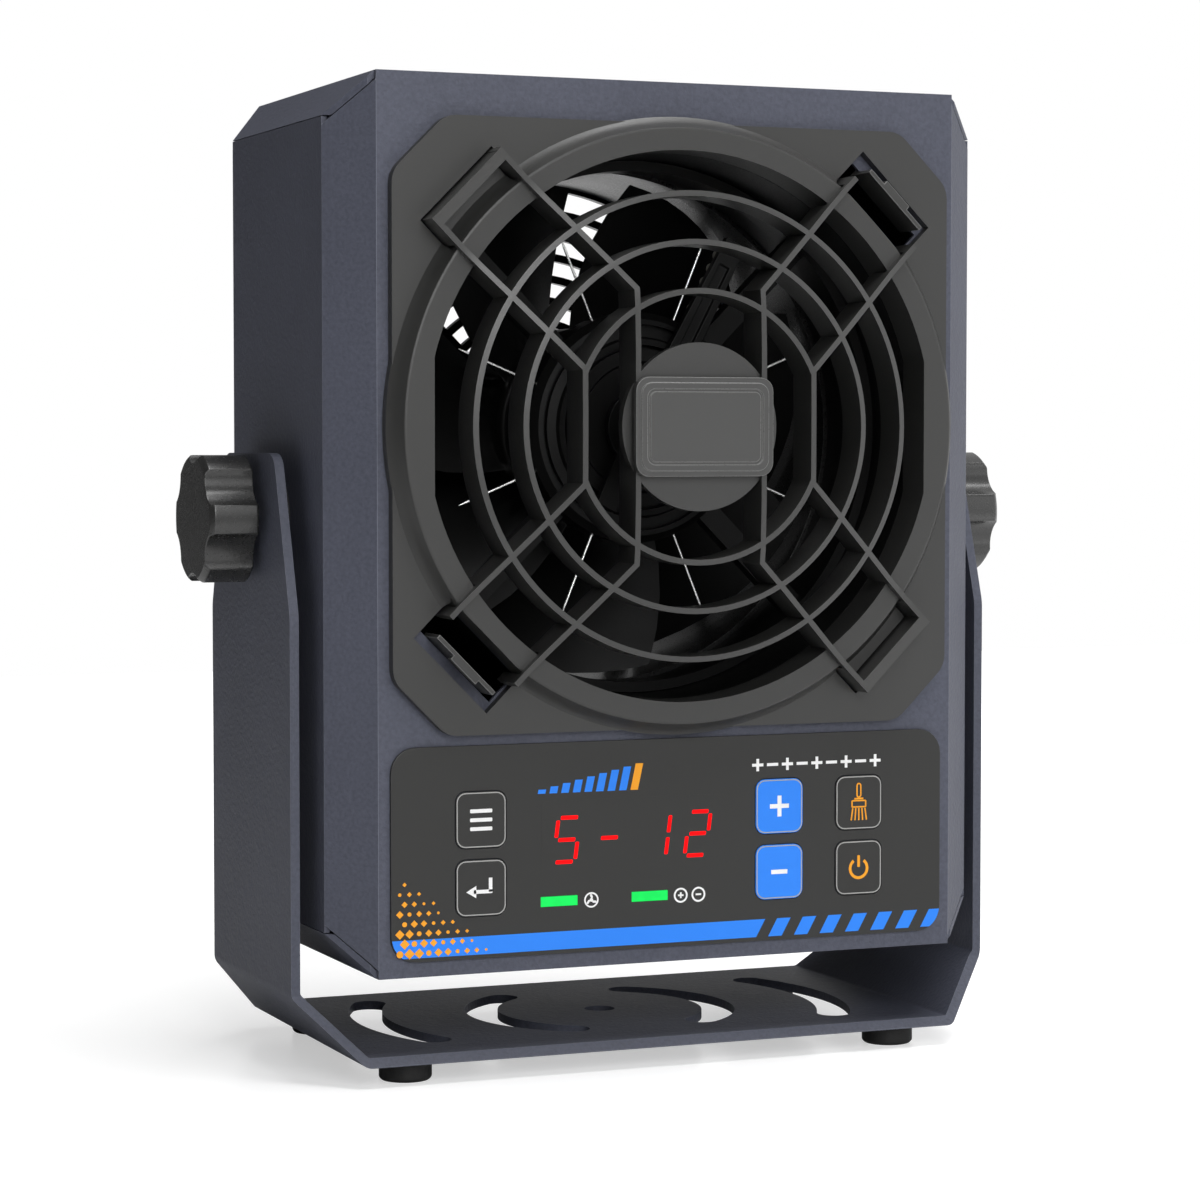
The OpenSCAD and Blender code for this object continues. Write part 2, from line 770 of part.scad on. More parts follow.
module fan_screws() {
    color("#2e2f33") at_fan()
        for (x = [-1, 1], z = [-1, 1]) translate([x * fan_pitch / 2, 0, z * fan_pitch / 2])
            panel_screw(fan_screw_r, guard_y, 12);
}

module rear_guard() {
    ring_count = floor((fan_bore_r - 12) / guard_step);
    pad_r = 5.2;
    color("#202020") at_fan() difference() {
        union() {
            rod_y(10, back_y, guard_y);
            for (k = [1:ring_count]) let (r = 10 + k * guard_step - guard_rib / 2)
                ring_y(r, r + guard_rib, back_y, guard_y);
            ring_y(fan_bore_r - 1, fan_bore_r + 2.5, back_y, guard_y);
            slab_y(back_y, guard_y) on_diagonals()
                diagonal_box(8, fan_pitch / sqrt(2), -1.2, 1.2);
            slab_y(back_y, guard_y) on_diagonals() {
                diagonal_box(fan_bore_r, fan_pitch / sqrt(2), -pad_r, pad_r);
                translate([fan_pitch / sqrt(2), 0]) circle(pad_r);
            }
        }
        for (x = [-1, 1], z = [-1, 1]) translate([x * fan_pitch / 2, 0, z * fan_pitch / 2])
            rod_y(fan_hole_r, back_y - 1, guard_y + 1);
    }
}

// ---- Control panel ----

module control_overlay() {
    color("#474745") translate([0, 0, panel_z]) difference() {
        slab_y(front_y - panel_t, front_y) polygon(rounded(rectangle(panel_w, panel_h), panel_r));
        slab_y(front_y - panel_t - 1, front_y + 1) {
            for (x = key_col, z = key_row) translate([x, z])
                polygon(rounded(rectangle(key_w + 2 * key_gap, key_h + 2 * key_gap), key_r + key_gap));
            translate([display_x, display_dz])
                polygon(rectangle(display_w + 2 * eps, display_h + 2 * eps));
            for (x = light_x) translate([x, light_dz])
                polygon(rectangle(light_w + 2 * eps, light_h + 2 * eps));
        }
    }
}

// A key at the column and row given: a cap in the overlay and a plunger through the case.
module key(column, row, finish) {
    cap_front = front_y - panel_t - key_rise;
    stem_y = board_y - 5.9;
    color(finish) translate([key_col[column], 0, panel_z + key_row[row]]) {
        slab_y(cap_front, cap_front + key_cap_t) polygon(rounded(rectangle(key_w, key_h), key_r));
        rod_y(plunger_r, cap_front + key_cap_t / 2, stem_y - key_travel - 0.1);
    }
}

module key_menu() { key(0, 0, "#474745"); }
module key_enter() { key(0, 1, "#474745"); }
module key_plus() { key(1, 0, "#2f86f5"); }
module key_minus() { key(1, 1, "#2f86f5"); }
module key_clean() { key(2, 0, "#474745"); }
module key_power() { key(2, 1, "#474745"); }

module key_switches() {
    color("#a9abad") translate([0, 0, panel_z]) for (x = key_col, z = key_row) translate([x, 0, z]) {
        slab_y(board_y - 3.6, board_y - eps) polygon(rectangle(6, 6));
        rod_y(1.7, board_y - 5.9, board_y - 3.6);
    }
}

module display_module() {
    color("#262626") translate([display_x, 0, panel_z + display_dz])
        slab_y(front_y - panel_t + eps, board_y - eps) polygon(rectangle(display_w, display_h));
}

module status_lights() {
    color("#22dd55") translate([0, 0, panel_z]) for (x = light_x) translate([x, 0, light_dz])
        slab_y(front_y - panel_t, board_y - eps) polygon(rectangle(light_w, light_h));
}

module board_fixings(r, y0, y1) {
    translate([0, 0, panel_z]) for (x = [-1, 1], z = [-1, 1])
        translate([x * (board_w / 2 - 4), 0, z * (board_h / 2 - 4)]) rod_y(r, y0, y1);
}

module control_board() {
    color("#1f5a38") difference() {
        union() {
            translate([0, 0, panel_z])
                slab_y(board_y, board_y + board_t) polygon(rectangle(board_w, board_h));
            translate([-20, board_y + board_t, panel_z - 6]) cube([14, 2.2, 14]);
            translate([20, board_y + board_t, panel_z - 12]) cube([18, 7, 8]);
            translate([8, board_y + board_t, panel_z + 6]) rod_y(4, 0, 9);
        }
        board_fixings(1.6, board_y - 1, board_y + board_t + 1);
    }
}

module board_standoffs() {
    color("#b08d45") board_fixings(standoff_r, inner_front_y + eps, board_y - eps);
    color("#b08d45") board_fixings(1.5, board_y - 1, board_y + board_t + 1);
}

// ---- Electronics in the base of the case ----

floor_z = case_z + case_wall + eps;

module high_voltage_module() {
    color("#1a1a1c") difference() {
        union() {
            translate([-60, -10, floor_z]) cube([56, 38, 26]);
            translate([-64, 4, floor_z]) cube([64, 10, 2]);
            for (x = [-50, -14]) translate([x, 9, floor_z + 25]) cylinder(r = 4, h = 5);
        }
        for (x = [-62, -2]) translate([x, 9, floor_z - 1]) cylinder(r = 1.4, h = 4);
    }
}

module power_supply_board() {
    board_z = floor_z + 5;
    color("#27613f") difference() {
        union() {
            translate([4, -24, board_z]) cube([58, 38, 1.6]);
            for (x = [8, 58], y = [-20, 10]) translate([x, y, floor_z]) cylinder(r = 2.5, h = 5.5);
            translate([12, -14, board_z + 1]) cube([20, 18, 16]);
            translate([40, -14, board_z + 1]) cylinder(r = 6, h = 19);
            translate([40, 4, board_z + 1]) cube([14, 6, 12]);
        }
        for (x = [8, 58], y = [-20, 10]) translate([x, y, floor_z - 1]) cylinder(r = 1.4, h = 9);
    }
}

module power_inlet() {
    flange_t = 2.4;
    shroud_d = 16;
    color("#1c1c1c") translate([inlet_x, 0, inlet_z]) difference() {
        union() {
            slab_y(back_y, back_y + flange_t)
                polygon(rounded(octagon(inlet_ear_pitch + 9, 23, 6), 1.5, 4));
            slab_y(back_y - 22, back_y + 1) polygon(rectangle(inlet_w, inlet_h));
            for (x = [-7, 0, 7]) translate([x, 0, 0])
                slab_y(back_y - 28, back_y - 21) polygon(rectangle(1, 5));
        }
        slab_y(back_y - shroud_d, back_y + flange_t + 1) difference() {
            polygon(rounded(octagon(24.4, 16.8, 4), [0.8, 0.8, 0.8, 0.8, 0.8, 0.8, 0.8, 0.8], 3));
            for (x = [-7, 7]) translate([x, -0.5]) polygon(rectangle(2, 4));
            translate([0, 1.5]) polygon(rectangle(2, 4));
        }
        for (side = [-1, 1]) translate([side * inlet_ear_pitch / 2, 0, 0])
            rod_y(case_screw_r + screw_gap, back_y - 1, back_y + flange_t + 1);
    }
}

module inlet_screws() {
    color("#8d8f92") for (side = [-1, 1]) translate([inlet_x + side * inlet_ear_pitch / 2, 0, inlet_z])
        panel_screw(case_screw_r - run_gap, back_y + 2.4, 7);
}

module earth_terminal() {
    nut_w = 7;
    color("#b9a15a") translate([earth_x, 0, inlet_z]) {
        rod_y(earth_r, inner_back_y - 4, back_y + 8);
        for (y = [inner_back_y - 3.2, back_y + 0.1]) translate([0, y, 0])
            rotate([-90, 30, 0]) cylinder(d = nut_w * 2 / sqrt(3), h = 3, $fn = 6);
    }
}

// ---- Bracket, feet and clamp knobs ----

module bracket_front() {
    bottom_x = arm_out - corner_w;
    top_z = pivot_z + arm_top;
    outer = [
        [-arm_out, top_z + 1], [-arm_out, corner_h], [-bottom_x, 0],
        [bottom_x, 0], [arm_out, corner_h], [arm_out, top_z + 1]
    ];
    slope = atan2(corner_h, corner_w);
    knee = bracket_t * tan(45 - slope / 2);
    foot = bracket_t * tan(slope / 2);
    inner = [
        [-arm_in, top_z + 1], [-arm_in, corner_h + knee], [-bottom_x + foot, bracket_t],
        [bottom_x - foot, bracket_t], [arm_in, corner_h + knee], [arm_in, top_z + 1]
    ];
    in_r = bend_r - bracket_t;
    difference() {
        polygon(rounded(outer, [0, bend_r, bend_r, bend_r, bend_r, 0], 5));
        polygon(rounded(inner, [0, in_r, in_r, in_r, in_r, 0], 5));
    }
}

module bracket_side() {
    top_z = pivot_z + arm_top;
    shoulder = pivot_z - taper_below;
    polygon(rounded(
        [
            [-base_d / 2, -1], [base_d / 2, -1], [base_d / 2, 0.2], [arm_d / 2, corner_h],
            [arm_d / 2, shoulder], [arm_narrow / 2, top_z], [-arm_narrow / 2, top_z], [-arm_d / 2, shoulder], [-arm_d / 2, corner_h],
            [-base_d / 2, 0.2]
        ],
        [0, 0, 0, 2, 8, 5, 5, 8, 2, 0], 5
    ));
}

// Half of the arc slots: the inner and the outer one on one side.
module base_slots() {
    for (k = [0, 1]) rotate(-slot_turn[k]) {
        rotate(-slot_angle[k]) rotate_extrude(angle = 2 * slot_angle[k])
            translate([slot_r[k] - slot_w / 2, -1]) square([slot_w, bracket_t + 2]);
        for (end = [-1, 1]) rotate(end * slot_angle[k]) translate([slot_r[k], 0, -1])
            cylinder(d = slot_w, h = bracket_t + 2);
    }
}

module bracket() {
    color("#4b4d5a") difference() {
        intersection() {
            slab_y(-base_d, base_d) bracket_front();
            translate([-case_w, 0, 0]) rotate([90, 0, 90]) linear_extrude(2 * case_w) bracket_side();
        }
        translate([0, 0, -1]) cylinder(r = bench_hole_r, h = bracket_t + 2);
        base_slots();
        rotate(180) base_slots();
        for (side = [-1, 1]) pivot_axis(side) translate([0, 0, arm_in - 1])
            cylinder(r = stud_r + screw_gap, h = bracket_t + 2);
    }
}

module foot(side_x, side_y) {
    color("#171717") translate([side_x * foot_x, side_y * foot_y, -foot_h]) difference() {
        rotate_extrude() polygon([
            [0, 0], [foot_d / 2 - 0.6, 0], [foot_d / 2, 0.6], [foot_d / 2, foot_h - eps], [0, foot_h - eps]
        ]);
        translate([0, 0, -1]) cylinder(r = 1.8, h = 2.5);
    }
}

module foot_front_left() { foot(-1, -1); }
module foot_front_right() { foot(1, -1); }
module foot_rear_left() { foot(-1, 1); }
module foot_rear_right() { foot(1, 1); }

// Puts what is drawn along +Z onto the tilt axis, pointing out of one side.
module pivot_axis(side) {
    translate([0, 0, pivot_z]) rotate([0, side * 90, 0]) children();
}

module pivot_inserts() {
    color("#b9babc") for (side = [-1, 1]) pivot_axis(side) difference() {
        union() {
            translate([0, 0, case_w / 2 - insert_l]) cylinder(r = insert_r, h = insert_l);
            translate([0, 0, case_w / 2 - case_wall - 1.6]) cylinder(r = insert_r + 2, h = 1.5);
        }
        translate([0, 0, case_w / 2 - insert_l - 1]) cylinder(r = stud_r + run_gap, h = insert_l + 2);
    }
}

module friction_washers() {
    washer_r = 10;
    color("#1f1f1f") for (side = [-1, 1]) pivot_axis(side)
        translate([0, 0, case_w / 2 + eps]) difference() {
            cylinder(r = washer_r, h = arm_gap - eps - 0.15);
            translate([0, 0, -1]) cylinder(r = stud_r + screw_gap, h = arm_gap + 2);
        }
}

// A lobed clamp knob, drawn along +Z away from the bracket.
module knob_body() {
    flute_r = 6.2;
    flute_depth = 2.5;
    rim = 1;
    top = collar_l + knob_l;
    difference() {
        union() {
            cylinder(r = collar_r, h = collar_l + 1);
            intersection() {
                translate([0, 0, collar_l]) linear_extrude(knob_l) difference() {
                    circle(knob_d / 2);
                    for (k = [0:lobe_count - 1]) rotate(k * 360 / lobe_count)
                        translate([knob_d / 2 - flute_depth + flute_r, 0]) circle(flute_r);
                }
                rotate_extrude() polygon([
                    [0, 0], [knob_d / 2 - 0.4, collar_l], [knob_d / 2, collar_l + 0.4],
                    [knob_d / 2, top - rim - 0.3], [knob_d / 2 - rim, top - 0.3], [0, top]
                ]);
            }
        }
        translate([0, 0, -1]) cylinder(r = stud_r + 0.02, h = collar_l + knob_l * 0.6 + 1);
    }
}

module knob(side) {
    color("#1d1d1c") pivot_axis(side) translate([0, 0, knob_in]) rotate(side > 0 ? right_knob_turn : 0)
        knob_body();
}

module stud(side) {
    color("#c4c6c8") pivot_axis(side) translate([0, 0, case_w / 2 - insert_l + 1])
        cylinder(r = stud_r, h = knob_in + collar_l + knob_l * 0.6 - case_w / 2 + insert_l - 1.1);
}

module knob_left() { knob(-1); }
module knob_right() { knob(1); }
module stud_left() { stud(-1); }
module stud_right() { stud(1); }

front_case();
rear_case();
case_screws();
front_bezel();
air_duct();
front_grille();
grille_plate();
grille_latches();
emitter_carrier();
emitter_needles();
brush_motor();
brush_arm();
brush_bristles();
fan_frame();
fan_rotor();
fan_shaft();
fan_bearings();
fan_stator();
fan_screws();
rear_guard();
control_overlay();
key_menu();
key_enter();
key_plus();
key_minus();
key_clean();
key_power();
key_switches();
display_module();
status_lights();
control_board();
board_standoffs();
high_voltage_module();
power_supply_board();
power_inlet();
inlet_screws();
earth_terminal();
bracket();
foot_front_left();
foot_front_right();
foot_rear_left();
foot_rear_right();
pivot_inserts();
friction_washers();
knob_left();
knob_right();
stud_left();
stud_right();
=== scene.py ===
"""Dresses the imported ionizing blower: finishes, printed keypad, rounded edges and small fasteners.

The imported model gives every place. Each sub-assembly is a class that builds its own pieces.
"""

import json
import logging
import math
from dataclasses import dataclass
from enum import Enum
from typing import Callable, Optional, Sequence, Union

import bpy
from mathutils import Matrix, Vector


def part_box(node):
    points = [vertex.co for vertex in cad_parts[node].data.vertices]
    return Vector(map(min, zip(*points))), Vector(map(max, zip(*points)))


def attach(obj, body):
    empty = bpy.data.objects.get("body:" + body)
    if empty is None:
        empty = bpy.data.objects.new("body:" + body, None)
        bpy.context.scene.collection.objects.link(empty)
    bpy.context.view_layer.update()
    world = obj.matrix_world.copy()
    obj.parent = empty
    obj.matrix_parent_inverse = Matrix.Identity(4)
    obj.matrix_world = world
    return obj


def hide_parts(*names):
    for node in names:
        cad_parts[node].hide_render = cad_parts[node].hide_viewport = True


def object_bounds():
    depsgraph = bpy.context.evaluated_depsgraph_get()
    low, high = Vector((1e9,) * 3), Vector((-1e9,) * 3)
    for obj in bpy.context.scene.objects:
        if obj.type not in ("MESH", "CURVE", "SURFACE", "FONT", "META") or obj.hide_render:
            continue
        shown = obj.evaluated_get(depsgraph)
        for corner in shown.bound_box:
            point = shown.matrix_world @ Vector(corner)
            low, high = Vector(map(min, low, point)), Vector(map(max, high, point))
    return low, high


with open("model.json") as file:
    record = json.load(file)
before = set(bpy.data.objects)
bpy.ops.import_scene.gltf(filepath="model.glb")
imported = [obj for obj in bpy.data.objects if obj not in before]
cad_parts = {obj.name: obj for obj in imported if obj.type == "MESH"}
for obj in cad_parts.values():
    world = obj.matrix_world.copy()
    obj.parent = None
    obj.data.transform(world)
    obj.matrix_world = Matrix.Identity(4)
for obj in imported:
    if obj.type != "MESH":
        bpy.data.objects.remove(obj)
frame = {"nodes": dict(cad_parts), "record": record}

log = logging.getLogger("blower")
CAD_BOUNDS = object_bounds()
MM = 0.001

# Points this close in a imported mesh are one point, and faces this flat are one face.
MERGE_MM = 0.002
PLANE_DEG = 0.8
# Edges sharper than this are rounded, unless a piece says otherwise.
EDGE_DEG = 32.0
# The width of a cross recess's arm, as a share of its length.
CROSS_ARM = 0.2
# The range that holds most of a noise texture's values.
NOISE_RANGE = (0.3, 0.7)
# The colour sockets of a Mix node.
MIX_INPUTS = (6, 7)
MIX_OUTPUT = 2
# The size of a coating's blotches, and its coarse relief against its grain.
BLOTCH_MM = 38.0
COARSE_SIZE = 4.0
COARSE_DEPTH = 1.5

Colour = tuple[float, float, float]
Piece = bpy.types.Object
Socket = bpy.types.NodeSocket


# ---- Finishes ----


class Slot(Enum):
    """The record's material slots."""

    CASE = "case_paint"
    BRACKET = "bracket_paint"
    DARK_SCREW = "dark_screw"
    BEZEL = "bezel_plastic"
    GRILLE = "grille_plastic"
    BLACK = "black_plastic"
    KNOB = "knob_plastic"
    FILM = "overlay_film"
    BLUE = "blue_film"
    DISPLAY = "display_glass"
    LAMP = "green_lamp"
    NEEDLE = "needle_metal"
    STEEL = "plain_steel"
    COPPER = "copper_winding"
    BRASS = "brass_part"
    BRISTLE = "bristle"
    BOARD = "circuit_board"
    RUBBER = "foot_rubber"


class ShaderTree:
    """A material whose Principled shader is fed by noise on Object coordinates."""

    def __init__(self, name: str) -> None:
        """Starts a material with only its Principled shader and output."""
        self.material = bpy.data.materials.new(name)
        self.material.use_nodes = True
        self.nodes = self.material.node_tree.nodes
        self.links = self.material.node_tree.links
        self.shader = self.nodes["Principled BSDF"]
        self.coords = self.nodes.new("ShaderNodeTexCoord").outputs["Object"]

    def noise(self, size_mm: float, detail: float = 3.0) -> Socket:
        """Adds a noise texture.

        Args:
            size_mm: the size of one blotch or grain.
            detail: how many finer layers are added.

        Returns:
            Its value.
        """
        node = self.nodes.new("ShaderNodeTexNoise")
        node.inputs["Scale"].default_value = 1.0 / (size_mm * MM)
        node.inputs["Detail"].default_value = detail
        self.links.new(self.coords, node.inputs["Vector"])
        return node.outputs["Fac"]

    def spread(self, value: Socket, low: float, high: float) -> Socket:
        """Returns a noise value with its middle range mapped onto low to high."""
        node = self.nodes.new("ShaderNodeMapRange")
        node.inputs["From Min"].default_value, node.inputs["From Max"].default_value = NOISE_RANGE
        node.inputs["To Min"].default_value = low
        node.inputs["To Max"].default_value = high
        self.links.new(value, node.inputs["Value"])
        return node.outputs["Result"]

    def blend(self, factor: Socket, one: Union[Colour, Socket],
              two: Union[Colour, Socket]) -> Socket:
        """Returns a colour between two colours or colour sockets, by a factor."""
        node = self.nodes.new("ShaderNodeMix")
        node.data_type = "RGBA"
        for index, colour in zip(MIX_INPUTS, (one, two)):
            if isinstance(colour, tuple):
                node.inputs[index].default_value = (*colour, 1.0)
            else:
                self.links.new(colour, node.inputs[index])
        self.links.new(factor, node.inputs["Factor"])
        return node.outputs[MIX_OUTPUT]

    def relief(self, height: Socket, depth_mm: float, strength: float = 1.0,
               under: Optional[Socket] = None) -> Socket:
        """Bumps a normal by a height.

        Args:
            height: the height, from 0 to 1.
            depth_mm: how deep a height of 1 is.
            strength: how much of the bump shows.
            under: a normal that the bump is laid over.

        Returns:
            The bumped normal.
        """
        node = self.nodes.new("ShaderNodeBump")
        node.inputs["Distance"].default_value = depth_mm * MM
        node.inputs["Strength"].default_value = strength
        self.links.new(height, node.inputs["Height"])
        if under is not None:
            self.links.new(under, node.inputs["Normal"])
        return node.outputs["Normal"]

    def feed(self, name: str, value: Socket) -> None:
        """Links a value to one of the shader's sockets."""
        self.links.new(value, self.shader.inputs[name])

    def fix(self, **values: float) -> None:
        """Sets constants on the shader's sockets, by their names with underscores for spaces."""
        for name, value in values.items():
            self.shader.inputs[name.replace("_", " ")].default_value = value


def combined(tree: bpy.types.NodeTree, operation: str, one: Socket, two: Socket) -> Socket:
    """Returns two values joined by a maths operation."""
    node = tree.nodes.new("ShaderNodeMath")
    node.operation = operation
    tree.links.new(one, node.inputs[0])
    tree.links.new(two, node.inputs[1])
    return node.outputs[0]


def shade(colour: Colour, factor: float) -> Colour:
    """Returns the colour times a factor, with no channel above 1."""
    return tuple(min(1.0, c * factor) for c in colour)


@dataclass(frozen=True)
class Coating:
    """A paint, moulded plastic, rubber or film: a grained, slightly blotchy coloured surface."""

    name: str
    slot: Slot
    colour: Colour
    roughness: float
    grain_mm: float = 0.6
    grain_depth_mm: float = 0.02
    blotch: float = 0.05
    specular: float = 0.4
    speckle: float = 0.04
    gloss_spread: float = 0.05

    def make(self) -> bpy.types.Material:
        """Returns the material: wide blotches in two tones, speckled and dented by the grain."""
        tree = ShaderTree(self.name)
        tone = tree.spread(tree.noise(BLOTCH_MM, 2.0), 0.0, 1.0)
        grain = tree.noise(self.grain_mm)
        tones = [
            tree.blend(tone, shade(self.colour, fine * (1 - self.blotch)),
                       shade(self.colour, fine * (1 + self.blotch)))
            for fine in (1 - self.speckle, 1 + self.speckle)
        ]
        tree.feed("Base Color", tree.blend(tree.spread(grain, 0.0, 1.0), *tones))
        tree.feed("Roughness", tree.spread(grain, self.roughness - self.gloss_spread,
                                           self.roughness + self.gloss_spread))
        coarse = tree.noise(self.grain_mm * COARSE_SIZE, 2.0)
        under = tree.relief(coarse, self.grain_depth_mm * COARSE_DEPTH, 0.5)
        tree.feed("Normal", tree.relief(grain, self.grain_depth_mm, under=under))
        tree.fix(Specular_IOR_Level=self.specular)
        return tree.material


@dataclass(frozen=True)
class Metal:
    """A bare metal with fine tool marks."""

    name: str
    slot: Slot
    colour: Colour
    roughness: float
    mark_mm: float = 0.5
    mark_depth_mm: float = 0.006
    stain_mm: float = 6.0
    tones: tuple[float, float] = (0.9, 1.06)
    gloss_spread: tuple[float, float] = (0.07, 0.09)

    def make(self) -> bpy.types.Material:
        """Returns the material: faint stains in two tones, and marks that change the gloss."""
        tree = ShaderTree(self.name)
        marks = tree.noise(self.mark_mm, 4.0)
        dull, bright = (shade(self.colour, tone) for tone in self.tones)
        stain = tree.spread(tree.noise(self.stain_mm), 0.0, 1.0)
        tree.feed("Base Color", tree.blend(stain, dull, bright))
        less, more = self.gloss_spread
        tree.feed("Roughness", tree.spread(marks, self.roughness - less, self.roughness + more))
        tree.feed("Normal", tree.relief(marks, self.mark_depth_mm, 0.6))
        tree.fix(Metallic=1.0)
        return tree.material


@dataclass(frozen=True)
class Lamp:
    """A lit segment or window: a coloured surface that glows evenly."""

    name: str
    slot: Slot
    colour: Colour
    glow: float = 0.8
    unlit: tuple[float, float] = (0.35, 0.45)
    dimmest: float = 0.94
    veil_mm: float = 2.5

    def make(self) -> bpy.types.Material:
        """Returns the material: a darker body under a glow that varies a little."""
        tree = ShaderTree(self.name)
        veil = tree.spread(tree.noise(self.veil_mm, 1.0), 0.0, 1.0)
        dark, light = (shade(self.colour, tone) for tone in self.unlit)
        tree.feed("Base Color", tree.blend(veil, dark, light))
        dim = shade(self.colour, self.dimmest)
        tree.feed("Emission Color", tree.blend(veil, dim, self.colour))
        tree.fix(Emission_Strength=self.glow, Roughness=0.5, Specular_IOR_Level=0.1)
        return tree.material


Finish = Union[Coating, Metal, Lamp]


@dataclass(frozen=True)
class Finishes:
    """Every finish on the blower. The finishes for rounded edges are copies of their piece's finish:
    the lighter ones for the case, bracket and grille are painted highlights, and the darker ones for
    the bezel and keypad film are painted shade.
    """

    # Painted steel
    case: Coating = Coating(
        "case_satin_paint", Slot.CASE, (0.078, 0.083, 0.110), roughness=0.5, grain_mm=0.8,
        grain_depth_mm=0.13, blotch=0.04, specular=0.22, speckle=0.12)
    # Painted highlight: a lighter, glossier copy of the case paint for the rounded edges.
    case_edge_highlight: Coating = Coating(
        "case_paint_edge_highlight", Slot.CASE, (0.19, 0.20, 0.24), roughness=0.38, grain_mm=0.42,
        grain_depth_mm=0.01, blotch=0.03, specular=0.5)
    bracket: Coating = Coating(
        "bracket_satin_paint", Slot.BRACKET, (0.074, 0.079, 0.104), roughness=0.5, grain_mm=0.8,
        grain_depth_mm=0.13, blotch=0.04, specular=0.22, speckle=0.12)
    # Painted highlight: a lighter, glossier copy of the bracket paint for the rounded edges.
    bracket_edge_highlight: Coating = Coating(
        "bracket_paint_edge_highlight", Slot.BRACKET, (0.17, 0.18, 0.22), roughness=0.38, grain_mm=0.42,
        grain_depth_mm=0.01, blotch=0.03, specular=0.5)

    # Mouldings and rubber
    bezel: Coating = Coating(
        "bezel_moulding", Slot.BEZEL, (0.032, 0.032, 0.031), roughness=0.4, grain_mm=0.35,
        grain_depth_mm=0.006, blotch=0.03, specular=0.45)
    # Painted shade: a darker, duller copy of the bezel moulding for its rounded edges and side
    # walls.
    bezel_shaded_edge: Coating = Coating(
        "bezel_moulding_shaded_edge", Slot.BEZEL, (0.010, 0.010, 0.010), roughness=0.5, grain_mm=0.35,
        grain_depth_mm=0.003, blotch=0.03, specular=0.25)
    grille: Coating = Coating(
        "grille_moulding", Slot.GRILLE, (0.028, 0.028, 0.027), roughness=0.36, grain_mm=0.35,
        grain_depth_mm=0.006, blotch=0.03, specular=0.6)
    # Painted highlight: a lighter copy of the grille moulding for the rounded edges of the ribs,
    # plate and latches.
    grille_edge_highlight: Coating = Coating(
        "grille_moulding_edge_highlight", Slot.GRILLE, (0.13, 0.13, 0.127), roughness=0.3, grain_mm=0.35,
        grain_depth_mm=0.003, blotch=0.03, specular=0.5)
    plate: Coating = Coating(
        "grille_plate_moulding", Slot.BEZEL, (0.040, 0.040, 0.039), roughness=0.38, grain_mm=0.3,
        grain_depth_mm=0.006, blotch=0.03, specular=0.65)
    black: Coating = Coating(
        "black_moulding", Slot.BLACK, (0.010, 0.010, 0.010), roughness=0.3, grain_mm=0.4,
        grain_depth_mm=0.006, blotch=0.08, specular=0.35)
    # Black plastic, made darker and less glossy as painted shade for the parts inside the air path.
    inner: Coating = Coating(
        "duct_moulding_shaded", Slot.BLACK, (0.006, 0.006, 0.006), roughness=0.4, grain_mm=0.4,
        grain_depth_mm=0.006, blotch=0.08, specular=0.15)
    knob: Coating = Coating(
        "knob_moulding", Slot.KNOB, (0.018, 0.018, 0.0175), roughness=0.26, grain_mm=0.5,
        grain_depth_mm=0.0006, blotch=0.03, specular=0.7, speckle=0.02, gloss_spread=0.02)
    rubber: Coating = Coating(
        "foot_rubber_black", Slot.RUBBER, (0.012, 0.012, 0.012), roughness=0.62,
        grain_depth_mm=0.03, blotch=0.1, specular=0.3)
    bristle: Coating = Coating(
        "nylon_bristle", Slot.BRISTLE, (0.30, 0.29, 0.26), roughness=0.5, grain_mm=0.2,
        grain_depth_mm=0.05, blotch=0.1)

    # Keypad: films and inks
    film: Coating = Coating(
        "keypad_film", Slot.FILM, (0.036, 0.036, 0.035), roughness=0.5, grain_mm=0.16,
        grain_depth_mm=0.003, blotch=0.02, specular=0.2)
    # Painted shade: a darker copy of the keypad film for its rounded edges.
    film_shaded_edge: Coating = Coating(
        "keypad_film_shaded_edge", Slot.FILM, (0.014, 0.014, 0.014), roughness=0.4, grain_mm=0.16,
        grain_depth_mm=0.003, blotch=0.02, specular=0.5)
    blue: Coating = Coating(
        "blue_key_film", Slot.BLUE, (0.030, 0.232, 0.88), roughness=0.45, grain_mm=0.16,
        grain_depth_mm=0.003, blotch=0.02, specular=0.25, speckle=0.02)
    window: Coating = Coating(
        "display_window", Slot.DISPLAY, (0.036, 0.036, 0.035), roughness=0.5, grain_mm=0.2,
        grain_depth_mm=0.002, blotch=0.02, specular=0.2)
    grey_ink: Coating = Coating(
        "grey_ink", Slot.FILM, (0.36, 0.36, 0.35), roughness=0.45, grain_mm=0.2,
        grain_depth_mm=0.003, blotch=0.02, specular=0.3)
    white_ink: Coating = Coating(
        "white_ink", Slot.FILM, (0.86, 0.86, 0.86), roughness=0.5, grain_mm=0.2,
        grain_depth_mm=0.003, blotch=0.02, specular=0.2, speckle=0.02)
    orange_ink: Coating = Coating(
        "orange_ink", Slot.FILM, (0.88, 0.36, 0.026), roughness=0.5, grain_mm=0.2,
        grain_depth_mm=0.003, blotch=0.03, specular=0.2, speckle=0.03)
    blue_ink: Coating = Coating(
        "blue_ink", Slot.BLUE, (0.030, 0.232, 0.88), roughness=0.5, grain_mm=0.2,
        grain_depth_mm=0.003, blotch=0.02, specular=0.2, speckle=0.02)

